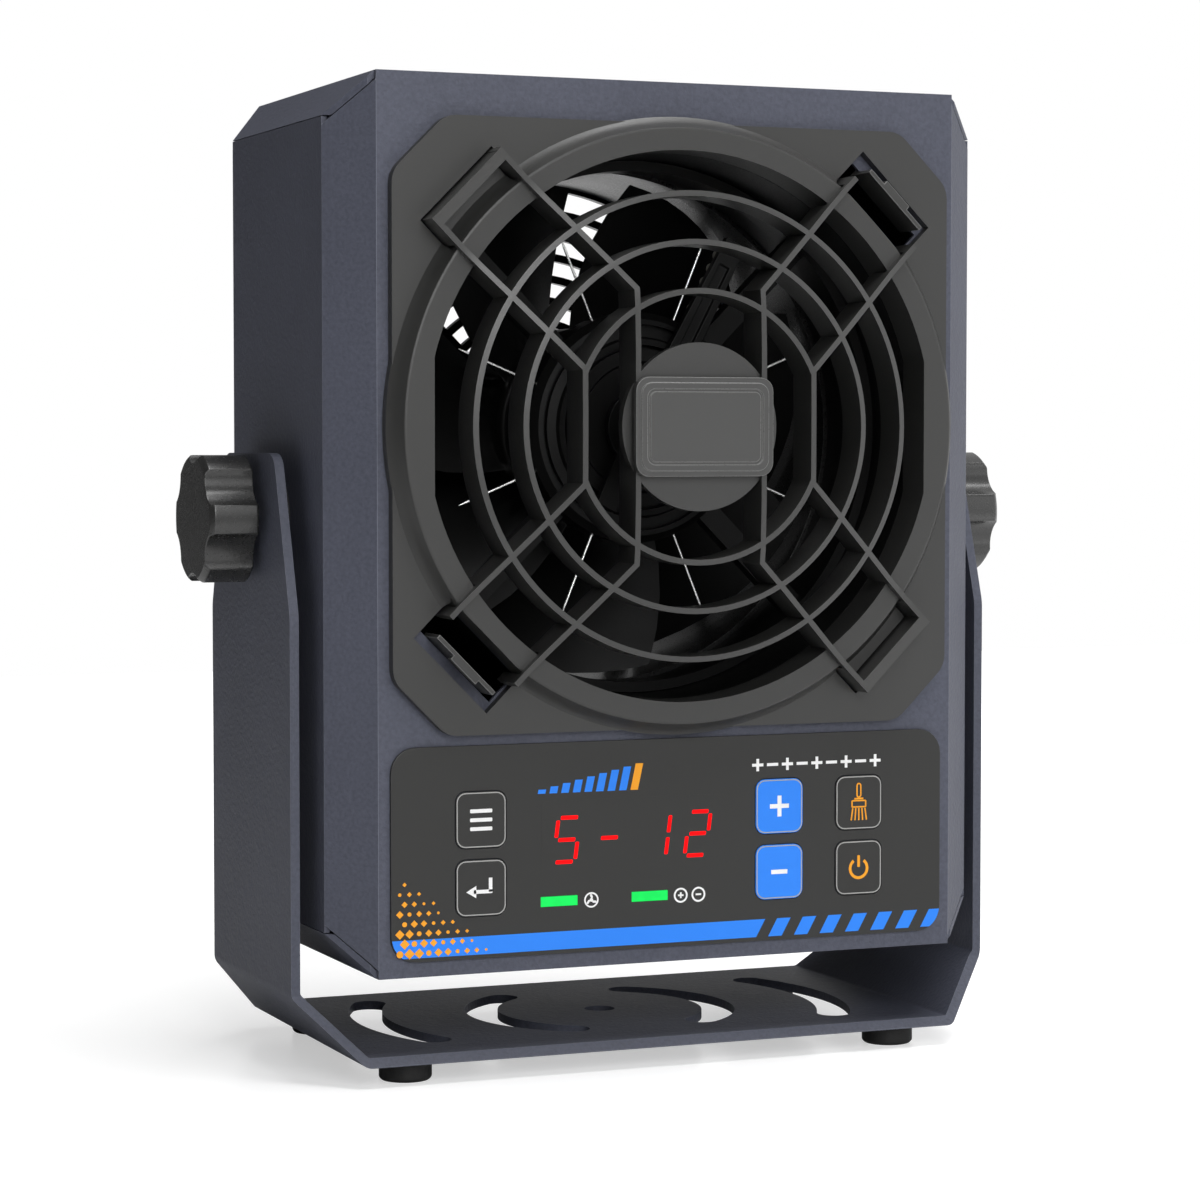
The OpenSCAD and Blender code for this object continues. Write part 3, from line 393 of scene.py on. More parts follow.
    # Metals and boards
    needle: Metal = Metal("needle_steel", Slot.NEEDLE, (0.92, 0.92, 0.91), roughness=0.30)
    steel: Metal = Metal("plated_steel", Slot.STEEL, (0.62, 0.62, 0.62), roughness=0.3)
    brass: Metal = Metal("plain_brass", Slot.BRASS, (0.72, 0.52, 0.22), roughness=0.28)
    dark_screw: Coating = Coating(
        "black_oxide_screw", Slot.DARK_SCREW, (0.022, 0.022, 0.024), roughness=0.34, grain_mm=0.4,
        grain_depth_mm=0.01, blotch=0.1, specular=0.6)
    copper: Coating = Coating(
        "enamelled_copper", Slot.COPPER, (0.36, 0.12, 0.04), roughness=0.3, grain_mm=0.35,
        grain_depth_mm=0.08, blotch=0.12, specular=0.6)
    board: Coating = Coating(
        "green_solder_resist", Slot.BOARD, (0.02, 0.16, 0.07), roughness=0.35, grain_mm=1.2,
        blotch=0.12, specular=0.5)

    # Lit pieces
    green_lamp: Lamp = Lamp("green_lit_window", Slot.LAMP, (0.012, 0.77, 0.11), glow=0.85)
    red_lamp: Lamp = Lamp("red_lit_segment", Slot.DISPLAY, (1.0, 0.002, 0.004), glow=1.0)


FINISH = Finishes()
# The materials made so far, by name.
_made: dict[str, bpy.types.Material] = {}


def material(finish: Finish) -> bpy.types.Material:
    """Returns the finish's material, made once."""
    if finish.name not in _made:
        _made[finish.name] = finish.make()
    return _made[finish.name]


# ---- Working with pieces ----


def only(piece: Piece) -> None:
    """Selects one piece and nothing else."""
    bpy.ops.object.select_all(action="DESELECT")
    piece.select_set(True)
    bpy.context.view_layer.objects.active = piece


def settle(piece: Piece) -> Piece:
    """Puts a piece's place into its mesh and returns it."""
    bpy.context.view_layer.update()
    piece.data.transform(piece.matrix_world)
    piece.matrix_world = Matrix.Identity(4)
    return piece


def paint(piece: Piece, finish: Finish, edge: Optional[Finish] = None) -> None:
    """Gives a piece its finish, and a second one for its rounded edges if it has one: a lighter copy
    that is a painted highlight, or a darker copy that is painted shade.
    """
    piece.data.materials.clear()
    piece.data.materials.append(material(finish))
    if edge is not None:
        piece.data.materials.append(material(edge))


def own(piece: Piece, name: str, finish: Finish, body: str, nodes: Sequence[str] = ()) -> Piece:
    """Names a finished piece, dresses it and ties it to its body.

    Args:
        piece: the piece, at its place.
        name: its name.
        finish: its finish.
        body: the body that it rides on.
        nodes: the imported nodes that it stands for.

    Returns:
        The same piece.
    """
    settle(piece)
    piece.name = name
    piece.data.name = name
    if not piece.data.materials or piece.data.materials[0] is not material(finish):
        paint(piece, finish)
    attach(piece, body)
    if nodes:
        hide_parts(*nodes)
    log.info("%s: %d faces on %s", name, len(piece.data.polygons), body)
    return piece


def body_of(node: str) -> str:
    """Returns the name of the body that a node belongs to."""
    bodies = frame["record"]["behaviour"]["bodies"]
    return next(name for name, members in bodies.items() if node in members)


def merged_copy(node: str) -> Piece:
    """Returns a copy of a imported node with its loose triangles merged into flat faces."""
    source = frame["nodes"][node]
    piece = source.copy()
    piece.data = source.data.copy()
    piece.parent = None
    for key in list(piece.keys()):
        del piece[key]
    bpy.context.scene.collection.objects.link(piece)
    only(piece)
    bpy.ops.object.mode_set(mode="EDIT")
    bpy.ops.mesh.select_all(action="SELECT")
    bpy.ops.mesh.remove_doubles(threshold=MERGE_MM * MM)
    bpy.ops.mesh.dissolve_limited(angle_limit=math.radians(PLANE_DEG))
    bpy.ops.object.mode_set(mode="OBJECT")
    return piece


def soften(piece: Piece, width_mm: float, segments: int = 2, angle: float = EDGE_DEG) -> None:
    """Rounds a piece's sharp edges and shades it smooth between them.

    Args:
        piece: the piece.
        width_mm: the width of the rounding; 0 leaves the edges sharp.
        segments: the number of faces across it.
        angle: the angle from which an edge is rounded, in degrees.
    """
    only(piece)
    if width_mm > 0:
        bevel = piece.modifiers.new("edges", "BEVEL")
        bevel.width = width_mm * MM
        bevel.segments = segments
        bevel.limit_method = "ANGLE"
        bevel.angle_limit = math.radians(angle)
        bevel.use_clamp_overlap = True
        # The rounding takes the last finish: on pieces with an edge finish, that is a painted
        # highlight or painted shade.
        bevel.material = len(piece.data.materials) - 1
        bpy.ops.object.modifier_apply(modifier=bevel.name)
    bpy.ops.object.shade_smooth_by_angle(angle=math.radians(angle))
    flat = piece.modifiers.new("flat_faces", "WEIGHTED_NORMAL")
    flat.mode = "FACE_AREA"
    flat.keep_sharp = True
    bpy.ops.object.modifier_apply(modifier=flat.name)


def refine(node: str, finish: Finish, width_mm: float = 0.0, segments: int = 2,
           angle: float = EDGE_DEG, edge: Optional[Finish] = None) -> Piece:
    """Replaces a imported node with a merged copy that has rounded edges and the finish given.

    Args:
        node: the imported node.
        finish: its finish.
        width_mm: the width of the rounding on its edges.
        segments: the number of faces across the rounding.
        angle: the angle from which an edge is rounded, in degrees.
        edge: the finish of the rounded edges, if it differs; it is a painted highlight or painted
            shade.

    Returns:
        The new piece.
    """
    piece = merged_copy(node)
    paint(piece, finish, edge)
    soften(piece, width_mm, segments, angle)
    return own(piece, node + "_dressed", finish, body_of(node), [node])


def dress(node: str, finish: Finish) -> None:
    """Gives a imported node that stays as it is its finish."""
    paint(frame["nodes"][node], finish)


def cross_recessed(piece: Piece, size_mm: float, depth_mm: float) -> Piece:
    """Cuts a cross recess into the head of each screw of a piece, from behind.

    Args:
        piece: the screws, whose heads are their rearmost parts.
        size_mm: the length of each arm of the cross from tip to tip.
        depth_mm: how deep the recess goes.

    Returns:
        The screws as one piece.
    """
    slim_mm = size_mm * CROSS_ARM
    only(piece)
    bpy.ops.mesh.separate(type="LOOSE")
    screws = list(bpy.context.selected_objects)
    for screw in screws:
        corners = [vertex.co for vertex in screw.data.vertices]
        middle = [(min(c[k] for c in corners) + max(c[k] for c in corners)) / 2 for k in (0, 2)]
        rear = max(c.y for c in corners)
        arms = []
        for wide, tall in ((size_mm, slim_mm), (slim_mm, size_mm)):
            bpy.ops.object.select_all(action="DESELECT")
            bpy.ops.mesh.primitive_cube_add(size=1, location=(middle[0], rear, middle[1]))
            arm = bpy.context.object
            arm.scale = (wide * MM, depth_mm * 2 * MM, tall * MM)
            arms.append(settle(arm))
        for arm in arms:
            only(screw)
            cut = screw.modifiers.new("recess", "BOOLEAN")
            cut.operation, cut.object, cut.solver = "DIFFERENCE", arm, "EXACT"
            bpy.ops.object.modifier_apply(modifier=cut.name)
        for arm in arms:
            bpy.data.objects.remove(arm)
    return joined(screws)


def joined(pieces: Sequence[Piece]) -> Piece:
    """Joins several pieces into the first and returns it."""
    for piece in pieces:
        settle(piece)
    bpy.ops.object.select_all(action="DESELECT")
    for piece in pieces:
        piece.select_set(True)
    bpy.context.view_layer.objects.active = pieces[0]
    bpy.ops.object.join()
    return pieces[0]


# ---- Flat printed shapes, drawn in X and Z on a face that looks along -Y ----


@dataclass
class Sheet:
    """A face to print on, given by its centre in metres.

    The ink starts a little way inside the face and stands a little proud of it. Its shapes are
    placed and sized in millimetres from the centre.
    """

    x: float
    y: float
    z: float
    thick: float = 0.03 * MM
    inset: float = 0.02 * MM
    corner_steps: int = 5

    def _stand(self, piece: Piece, x: float, z: float, turn: float) -> Piece:
        """Stands a shape drawn in X and Y up on the sheet, at x and z from the sheet's centre."""
        only(piece)
        bpy.ops.object.mode_set(mode="EDIT")
        bpy.ops.mesh.select_all(action="SELECT")
        rise = (0, 0, self.thick + self.inset)
        bpy.ops.mesh.extrude_region_move(TRANSFORM_OT_translate={"value": rise})
        bpy.ops.mesh.select_all(action="SELECT")
        bpy.ops.mesh.normals_make_consistent(inside=False)
        bpy.ops.object.mode_set(mode="OBJECT")
        stand = Matrix.Rotation(math.radians(90), 4, "X")
        place = Matrix.Translation((self.x + x * MM, self.y + self.inset, self.z + z * MM))
        piece.matrix_world = place @ stand @ Matrix.Rotation(math.radians(turn), 4, "Z")
        return settle(piece)

    def bar(self, x: float, z: float, width: float, height: float, corner: float = 0.0,
            turn: float = 0.0, slant: float = 0.0, line: float = 0.0) -> Piece:
        """Prints a bar or a frame.

        Args:
            x, z: its centre.
            width, height: its size.
            corner: its corner radius.
            turn: its turn, in degrees.
            slant: how far its top edge is moved along +X from its bottom edge.
            line: the width of its outline, or 0 for a filled bar.

        Returns:
            The printed shape.
        """
        bpy.ops.object.select_all(action="DESELECT")
        bpy.ops.mesh.primitive_plane_add(size=1)
        piece = bpy.context.object
        piece.scale = (width * MM, height * MM, 1)
        settle(piece)
        for vertex in piece.data.vertices:
            vertex.co.x += math.copysign(slant * MM / 2, vertex.co.y)
        bpy.ops.object.mode_set(mode="EDIT")
        bpy.ops.mesh.select_all(action="SELECT")
        if corner > 0:
            bpy.ops.mesh.bevel(offset=corner * MM, segments=self.corner_steps, affect="VERTICES",
                               clamp_overlap=True)
        if line > 0:
            bpy.ops.mesh.select_all(action="SELECT")
            bpy.ops.mesh.inset(thickness=line * MM)
            bpy.ops.mesh.delete(type="FACE")
        bpy.ops.object.mode_set(mode="OBJECT")
        return self._stand(piece, x, z, turn)

    def arc(self, x: float, z: float, radius: float, line: float, gap: float = 0.0,
            vertices: int = 40) -> Piece:
        """Prints a ring with an optional gap at its top.

        Args:
            x, z: its centre.
            radius: the radius of the line's middle.
            line: the line's width.
            gap: the half angle of the gap, in degrees.
            vertices: the number of sides.

        Returns:
            The printed shape.
        """
        bpy.ops.object.select_all(action="DESELECT")
        bpy.ops.mesh.primitive_circle_add(vertices=vertices, radius=(radius + line / 2) * MM,
                                          fill_type="NGON")
        piece = bpy.context.object
        bpy.ops.object.mode_set(mode="EDIT")
        bpy.ops.mesh.select_all(action="SELECT")
        bpy.ops.mesh.inset(thickness=line * MM)
        bpy.ops.mesh.delete(type="FACE")
        bpy.ops.mesh.select_mode(type="FACE")
        bpy.ops.mesh.select_all(action="DESELECT")
        bpy.ops.object.mode_set(mode="OBJECT")
        for face in piece.data.polygons:
            centre = face.center
            face.select = abs(math.degrees(math.atan2(centre.x, centre.y))) < gap
        if any(face.select for face in piece.data.polygons):
            bpy.ops.object.mode_set(mode="EDIT")
            bpy.ops.mesh.delete(type="FACE")
            bpy.ops.object.mode_set(mode="OBJECT")
        return self._stand(piece, x, z, 0.0)

    def outline(self, points: Sequence[tuple[float, float]]) -> Piece:
        """Prints a filled shape with the corners given."""
        bpy.ops.object.select_all(action="DESELECT")
        bpy.ops.mesh.primitive_circle_add(vertices=len(points), radius=MM, fill_type="NGON")
        piece = bpy.context.object
        for vertex, (x, z) in zip(piece.data.vertices, points):
            vertex.co = (x * MM, z * MM, 0)
        return self._stand(piece, 0, 0, 0.0)

    def above(self) -> "Sheet":
        """Returns the sheet that lies on this one's ink."""
        return Sheet(self.x, self.y - self.thick, self.z)

    def disc(self, x: float, z: float, radius: float, vertices: int = 24,
             turn: float = 0.0) -> Piece:
        """Prints a filled disc, or a regular polygon with the number of vertices given."""
        bpy.ops.object.select_all(action="DESELECT")
        bpy.ops.mesh.primitive_circle_add(vertices=vertices, radius=radius * MM,
                                          fill_type="NGON")
        return self._stand(bpy.context.object, x, z, turn)


# ---- Sub-assemblies ----


@dataclass
class CaseShell:
    """The painted steel case, in millimetres.

    fold is the width of the slanted folds, lip the height of the strips that close the seams,
    and lip_clear how much shorter than the room between the folds they are.
    """

    edge: float = 0.45
    wall: float = 1.2
    seam: float = 0.2
    fold: float = 9.0
    lip: float = 2.3
    lip_clear: float = 0.1

    def _closed_walls(self) -> Piece:
        """Returns the front case with lips that close the seams under its lid and its floor."""
        piece = merged_copy("front_case")
        low, high = (Vector(corner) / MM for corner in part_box("front_case"))
        reach = (high.y - low.y) - 2 * self.fold - self.lip_clear
        depth = (low.y + high.y) / 2
        heights = (high.z - self.fold - self.seam - self.lip / 2,
                   low.z + self.fold + self.seam + self.lip / 2)
        for side in (low.x + self.wall / 2, high.x - self.wall / 2):
            for height in heights:
                bpy.ops.object.select_all(action="DESELECT")
                bpy.ops.mesh.primitive_cube_add(size=1,
                                                location=(side * MM, depth * MM, height * MM))
                lip = bpy.context.object
                lip.scale = (self.wall * MM, reach * MM, self.lip * MM)
                settle(lip)
                only(piece)
                add = piece.modifiers.new("lip", "BOOLEAN")
                add.operation, add.object, add.solver = "UNION", lip, "EXACT"
                bpy.ops.object.modifier_apply(modifier=add.name)
                bpy.data.objects.remove(lip)
        return piece

    def build(self) -> None:
        """Rounds the folded edges, gives them a painted highlight, and dresses the two halves."""
        front = self._closed_walls()
        paint(front, FINISH.case, FINISH.case_edge_highlight)
        soften(front, self.edge)
        own(front, "front_case_dressed", FINISH.case, body_of("front_case"), ["front_case"])
        refine("rear_case", FINISH.case, self.edge, edge=FINISH.case_edge_highlight)


@dataclass
class AirOpening:
    """The bezel, the grille and what lies behind them, with the width of each one's rounding."""

    bezel_shaded_edge: float = 0.35
    bezel_angle: float = 28.0
    rib_edge: float = 0.12
    rib_angle: float = 40.0
    plate_edge: float = 0.25
    latch_edge: float = 0.15
    carrier_edge: float = 0.2
    brush_edge: float = 0.3

    def build(self) -> None:
        """Dresses the bezel, the grille, the duct, the emitter and the brush. The bezel's rounded
        edges are painted shade and the grille's rounded edges a painted highlight; the duct, the
        emitter carrier and the brush arm are black made darker as painted shade.
        """
        refine("front_bezel", FINISH.bezel, self.bezel_shaded_edge, 3, self.bezel_angle,
               FINISH.bezel_shaded_edge)
        refine("front_grille", FINISH.grille, self.rib_edge, 1, self.rib_angle,
               FINISH.grille_edge_highlight)
        refine("grille_plate", FINISH.plate, self.plate_edge, 3, edge=FINISH.grille_edge_highlight)
        refine("grille_latches", FINISH.bezel, self.latch_edge, edge=FINISH.grille_edge_highlight)
        refine("air_duct", FINISH.inner)
        refine("emitter_carrier", FINISH.inner, self.carrier_edge)
        refine("emitter_needles", FINISH.needle)
        refine("brush_motor", FINISH.steel, self.brush_edge)
        refine("brush_arm", FINISH.inner, self.brush_edge)
        refine("brush_bristles", FINISH.bristle)


@dataclass
class Fan:
    """The axial fan with its guard."""

    frame_edge: float = 0.3
    guard_edge: float = 0.35
    blade_angle: float = 40.0

    def build(self) -> None:
        """Dresses the fan's parts. The rotor's edges stay sharp, and its blades smooth. The rotor is
        black made darker as painted shade.
        """
        refine("fan_frame", FINISH.black, self.frame_edge)
        refine("fan_rotor", FINISH.inner, angle=self.blade_angle)
        refine("rear_guard", FINISH.black, self.guard_edge)
        dress("fan_shaft", FINISH.needle)
        dress("fan_bearings", FINISH.steel)
        dress("fan_stator", FINISH.copper)


@dataclass
class Keypad:
    """The control overlay with its keys, printed art, digits and lamps, in millimetres.

    Places are from the overlay's centre, and a key's icon is drawn from the key's own centre.
    """

    soft_edge: float = 0.12
    film_shaded_edge: float = 0.15
    line: float = 0.24
    key_margin: float = 0.35
    key_corner: float = 2.0
    corner: float = 5.5
    margin: float = 0.15
    stripe_top: float = -17.9
    stripe_bottom: float = -21.8
    stripe_end: float = 19.5
    slant: float = 2.2
    block_start: float = 22.4
    block_pitch: float = 6.28
    block_w: float = 3.3
    block_count: int = 7
    window: tuple[float, float] = (42.0, 16.0)
    window_corner: float = 0.8
    digit_rise: float = 1.75
    digit_x: tuple[float, ...] = (-25.3, -15.4, -4.1, 5.4)
    digit_w: float = 5.0
    digit_h: float = 9.5
    segment_w: float = 0.86
    segment_gap: float = 0.2
    digit_lean: float = 0.13
    scatter_at: tuple[float, float] = (-64.6, -22.4)
    scatter_reach: tuple[float, float] = (24.0, 19.5)
    heading: tuple[float, float] = (19.8, 16.1)
    heading_pitch: float = 3.6
    ion_x: tuple[float, float] = (1.4, 5.6)
    ion_z: float = -11.6
    fan_at: tuple[float, float] = (-19.6, -11.5)

    def _key(self, node: str, finish: Finish, icon: Callable[[Sheet], list[Piece]],
             ink: Finish) -> None:
        """Dresses one key and prints its outline and icon.

        Args:
            node: the key's node.
            finish: the finish of its cap.
            icon: the function that draws its icon on a sheet.
            ink: the finish of the icon.
        """
        low, high = (Vector(corner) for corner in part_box(node))
        face = Sheet((low.x + high.x) / 2, low.y, (low.z + high.z) / 2)
        width, height = (high.x - low.x) / MM, (high.z - low.z) / MM
        refine(node, finish, self.soft_edge)
        body = body_of(node)
        frame_line = face.bar(0, 0, width - self.key_margin, height - self.key_margin,
                              self.key_corner, line=self.line)
        own(frame_line, node + "_outline", FINISH.grey_ink, body)
        own(joined(icon(face)), node + "_icon", ink, body)

    @staticmethod
    def _menu(face: Sheet) -> list[Piece]:
        """Draws three bars."""
        return [face.bar(0, z, 5.0, 0.8, 0.2) for z in (1.9, 0.0, -1.9)]

    @staticmethod
    def _enter(face: Sheet) -> list[Piece]:
        """Draws an arrow that turns back to the left."""
        return [
            face.bar(0.4, -0.8, 4.2, 0.8), face.bar(2.1, 0.6, 0.8, 3.0),
            face.disc(-1.9, -0.8, 1.5, 3, 90),
        ]

    @staticmethod
    def _plus(face: Sheet) -> list[Piece]:
        """Draws a plus sign."""
        arms = [face.bar(0, z, 0.95, 1.83) for z in (1.39, -1.39)]
        return [face.bar(0, 0, 4.6, 0.95), *arms]

    @staticmethod
    def _minus(face: Sheet) -> list[Piece]:
        """Draws a minus sign."""
        return [face.bar(0, 0, 3.9, 0.95)]

    @staticmethod
    def _brush(face: Sheet) -> list[Piece]:
        """Draws a hand brush."""
        spread = (-1.7, -0.85, 0.0, 0.85, 1.7)
        bristles = [face.bar(x, -2.6, 0.32, 2.7, turn=5.0 * x) for x in spread]
        return [
            face.bar(0, 2.7, 1.25, 3.3, 0.6, line=0.32), face.bar(0, 0.85, 2.2, 0.4),
            face.bar(0, -0.3, 3.7, 1.7, 0.3, line=0.32), *bristles,
        ]

    @staticmethod
    def _power(face: Sheet) -> list[Piece]:
        """Draws a broken ring with a bar in its gap."""
        return [face.arc(0, -0.2, 2.1, 0.65, 38), face.bar(0, 1.4, 0.65, 2.6, 0.15)]

    def _digits(self, sheet: Sheet) -> list[Piece]:
        """Returns the lit segments of the display: a digit, a dash and two more digits."""
        side, half, line = self.digit_w / 2, self.digit_h / 4, self.segment_w
        spots = {
            "a": (0, 2 * half, True), "b": (side, half, False), "c": (side, -half, False),
            "d": (0, -2 * half, True), "e": (-side, -half, False), "f": (-side, half, False),
            "g": (0, 0, True),
        }
        lean = Matrix.Identity(4)
        lean[0][2] = self.digit_lean
        centre = Matrix.Translation((sheet.x, sheet.y, sheet.z))
        pieces = []
        for digit_x, segments in zip(self.digit_x, ("afgcd", "g", "bc", "abged")):
            for name in segments:
                x, z, lying = spots[name]
                length = (self.digit_w if lying else 2 * half) - line - self.segment_gap
                size = (length, line) if lying else (line, length)
                bar = sheet.bar(0, 0, *size, line * 0.3)
                shift = Matrix.Translation((x * MM, 0, z * MM))
                place = Matrix.Translation((digit_x * MM, 0, 0))
                bar.data.transform(centre @ place @ lean @ shift @ centre.inverted())
                pieces.append(bar)
        return pieces

    def _edge(self, half_w: float, half_h: float, z: float) -> float:
        """Returns how far from the middle print may reach at a height, inside the lower corners.

        Args:
            half_w, half_h: half the overlay's width and height.
            z: the height.
        """
        rise = max(0.0, self.corner - half_h - z)
        bulge = math.sqrt(max(0.0, self.corner ** 2 - rise ** 2))
        return half_w - self.corner + bulge - self.margin

    def _stripe(self, face: Sheet, half_w: float, half_h: float) -> None:
        """Prints the stripe and its slanted blocks along the overlay's lower edge."""
        top, bottom = self.stripe_top, self.stripe_bottom
        levels = [top + (bottom - top) * k / 8 for k in range(9)]
        left = [(-self._edge(half_w, half_h, z), z) for z in levels]
        end = self.stripe_end
        stripe = face.outline([*left, (end, bottom), (end + self.slant, top)])
        own(stripe, "overlay_stripe", FINISH.blue_ink, "head")
        blocks = []
        for k in range(self.block_count):
            start = self.block_start + self.block_pitch * k
            side = [
                (min(start + self.block_w + self.slant * (z - bottom) / (top - bottom),
                     self._edge(half_w, half_h, z)), z)
                for z in reversed(levels)
            ]
            blocks.append(face.outline([(start + self.slant, top), (start, bottom), *side]))
        own(joined(blocks), "overlay_stripe_blocks", FINISH.blue_ink, "head")

    def _scatter(self, face: Sheet) -> None:
        """Prints a fading lattice of orange lozenges and dots in the lower left corner."""
        marks = []
        for row in range(9):
            for column in range(11):
                x, z = 1.5 + 2.15 * column + 1.07 * (row % 2), 1.6 + 2.1 * row
                near = 1.0 - x / self.scatter_reach[0] - z / self.scatter_reach[1]
                if near < 0.0 or x + z < 3.0:
                    continue
                size = 0.42 + 0.95 * near
                radius, sides = (size, 4) if (row + 2 * column) % 3 else (size * 0.62, 14)
                place = x + self.scatter_at[0], z + self.scatter_at[1]
                marks.append(face.disc(*place, radius, sides))
        own(joined(marks), "overlay_lozenges", FINISH.orange_ink, "head")

    def _signs(self, face: Sheet) -> None:
        """Prints the rising bars, the plus and minus signs and the signs beside the lamps."""
        bars = [
            face.bar(-31.0 + 2.75 * k, 12.3 + 0.3 * k, 1.75, 0.9 + 0.6 * k, slant=0.2 + 0.13 * k)
            for k in range(9)
        ]
        own(bars.pop(), "overlay_bar_orange", FINISH.orange_ink, "head")
        own(joined(bars), "overlay_bars_blue", FINISH.blue_ink, "head")
        marks = []
        start, height = self.heading
        for k in range(9):
            x = start + self.heading_pitch * k
            marks.append(face.bar(x, height, 2.7, 0.65))
            if k % 2 == 0:
                marks += [face.bar(x, height + z, 0.65, 1.03) for z in (0.84, -0.84)]
        for x in self.ion_x:
            marks += [face.arc(x, self.ion_z, 1.45, 0.4, vertices=24),
                      face.bar(x, self.ion_z, 1.3, 0.4)]
        marks += [face.bar(self.ion_x[0], self.ion_z + z, 0.4, 0.44) for z in (0.42, -0.42)]
        x, z = self.fan_at
        marks += [face.arc(x, z, 1.5, 0.35, vertices=24), face.disc(x, z, 0.42, 12)]
        for turn in (90.0, 210.0, 330.0):
            a = math.radians(turn)
            blade = x + 0.82 * math.cos(a), z + 0.82 * math.sin(a)
            marks.append(face.bar(*blade, 0.95, 0.5, 0.2, turn + 25.0))
        own(joined(marks), "overlay_signs", FINISH.white_ink, "head")

    def build(self) -> None:
        """Prints the overlay and dresses its keys and windows. The overlay's rounded edges are
        painted shade.
        """
        refine("control_overlay", FINISH.film, self.film_shaded_edge, edge=FINISH.film_shaded_edge)
        low, high = (Vector(corner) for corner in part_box("control_overlay"))
        face = Sheet((low.x + high.x) / 2, low.y, (low.z + high.z) / 2)
        half_w, half_h = (high.x - low.x) / MM / 2, (high.z - low.z) / MM / 2
        self._key("key_menu", FINISH.film, self._menu, FINISH.white_ink)
        self._key("key_enter", FINISH.film, self._enter, FINISH.white_ink)
        self._key("key_plus", FINISH.blue, self._plus, FINISH.white_ink)
        self._key("key_minus", FINISH.blue, self._minus, FINISH.white_ink)
        self._key("key_clean", FINISH.film, self._brush, FINISH.orange_ink)
        self._key("key_power", FINISH.film, self._power, FINISH.orange_ink)
        self._stripe(face, half_w, half_h)
        self._scatter(face.above())
        self._signs(face)
        low, high = (Vector(corner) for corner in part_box("display_module"))
        centre = ((low.x + high.x) / 2 - face.x) / MM, ((low.z + high.z) / 2 - face.z) / MM
        cover = face.bar(*centre, *self.window, self.window_corner)
        own(cover, "display_film", FINISH.film, "head")
        lit = Sheet(face.x, face.above().y, face.z + self.digit_rise * MM)
        own(joined(self._digits(lit)), "display_digits", FINISH.red_lamp, "head")
        dress("display_module", FINISH.window)
        dress("status_lights", FINISH.green_lamp)


@dataclass
class Bracket:
    """The U-bracket with its feet and clamp knobs."""

    sheet_edge: float = 0.35
    foot_edge: float = 0.25
    knob_edge: float = 0.7
    knob_angle: float = 30.0

    def build(self) -> None:
        """Rounds and dresses the bracket, feet and knobs. The bracket's rounded edges get a painted
        highlight.
        """
        refine("bracket", FINISH.bracket, self.sheet_edge, edge=FINISH.bracket_edge_highlight)
        for end in ("front_left", "front_right", "rear_left", "rear_right"):
            refine("foot_" + end, FINISH.rubber, self.foot_edge)
        for side in ("left", "right"):
            refine("knob_" + side, FINISH.knob, self.knob_edge, 3, self.knob_angle)
            dress("stud_" + side, FINISH.steel)
        dress("pivot_inserts", FINISH.steel)
        dress("friction_washers", FINISH.rubber)


@dataclass
class Fasteners:
    """Screws, terminal and inlet on the back, and the boards inside."""

    cross: float = 2.6
    cross_depth: float = 1.0
    screw_edge: float = 0.1
    inlet_edge: float = 0.3
    terminal_edge: float = 0.2

    def build(self) -> None:
        """Dresses the small parts, and cuts a cross into each screw on the back."""
        for node, finish in (("case_screws", FINISH.dark_screw), ("fan_screws", FINISH.dark_screw),
                             ("inlet_screws", FINISH.steel)):
            screws = cross_recessed(merged_copy(node), self.cross, self.cross_depth)
            paint(screws, finish)
            soften(screws, self.screw_edge)
            own(screws, node + "_dressed", finish, body_of(node), [node])
        refine("power_inlet", FINISH.black, self.inlet_edge)
        refine("earth_terminal", FINISH.brass, self.terminal_edge)
        dress("key_switches", FINISH.steel)
        dress("control_board", FINISH.board)
        dress("board_standoffs", FINISH.brass)
        dress("high_voltage_module", FINISH.black)
        dress("power_supply_board", FINISH.board)


# ---- Studio ----


@dataclass(frozen=True)
class StudioLamp:
    """A square lamp: where it hangs and the length of its side in metres, its power in watts."""

    name: str
    place: tuple[float, float, float]
    size: float
    power: float

    def hang(self, aim: Vector) -> None:
        """Adds the lamp, looking at the point given."""
        data = bpy.data.lights.new(self.name, "AREA")
        data.shape = "SQUARE"
        data.size = self.size
        data.energy = self.power
        lamp = bpy.data.objects.new(self.name, data)
        bpy.context.scene.collection.objects.link(lamp)
        lamp.location = self.place
        lamp.rotation_euler = (aim - Vector(self.place)).to_track_quat("-Z", "Y").to_euler()


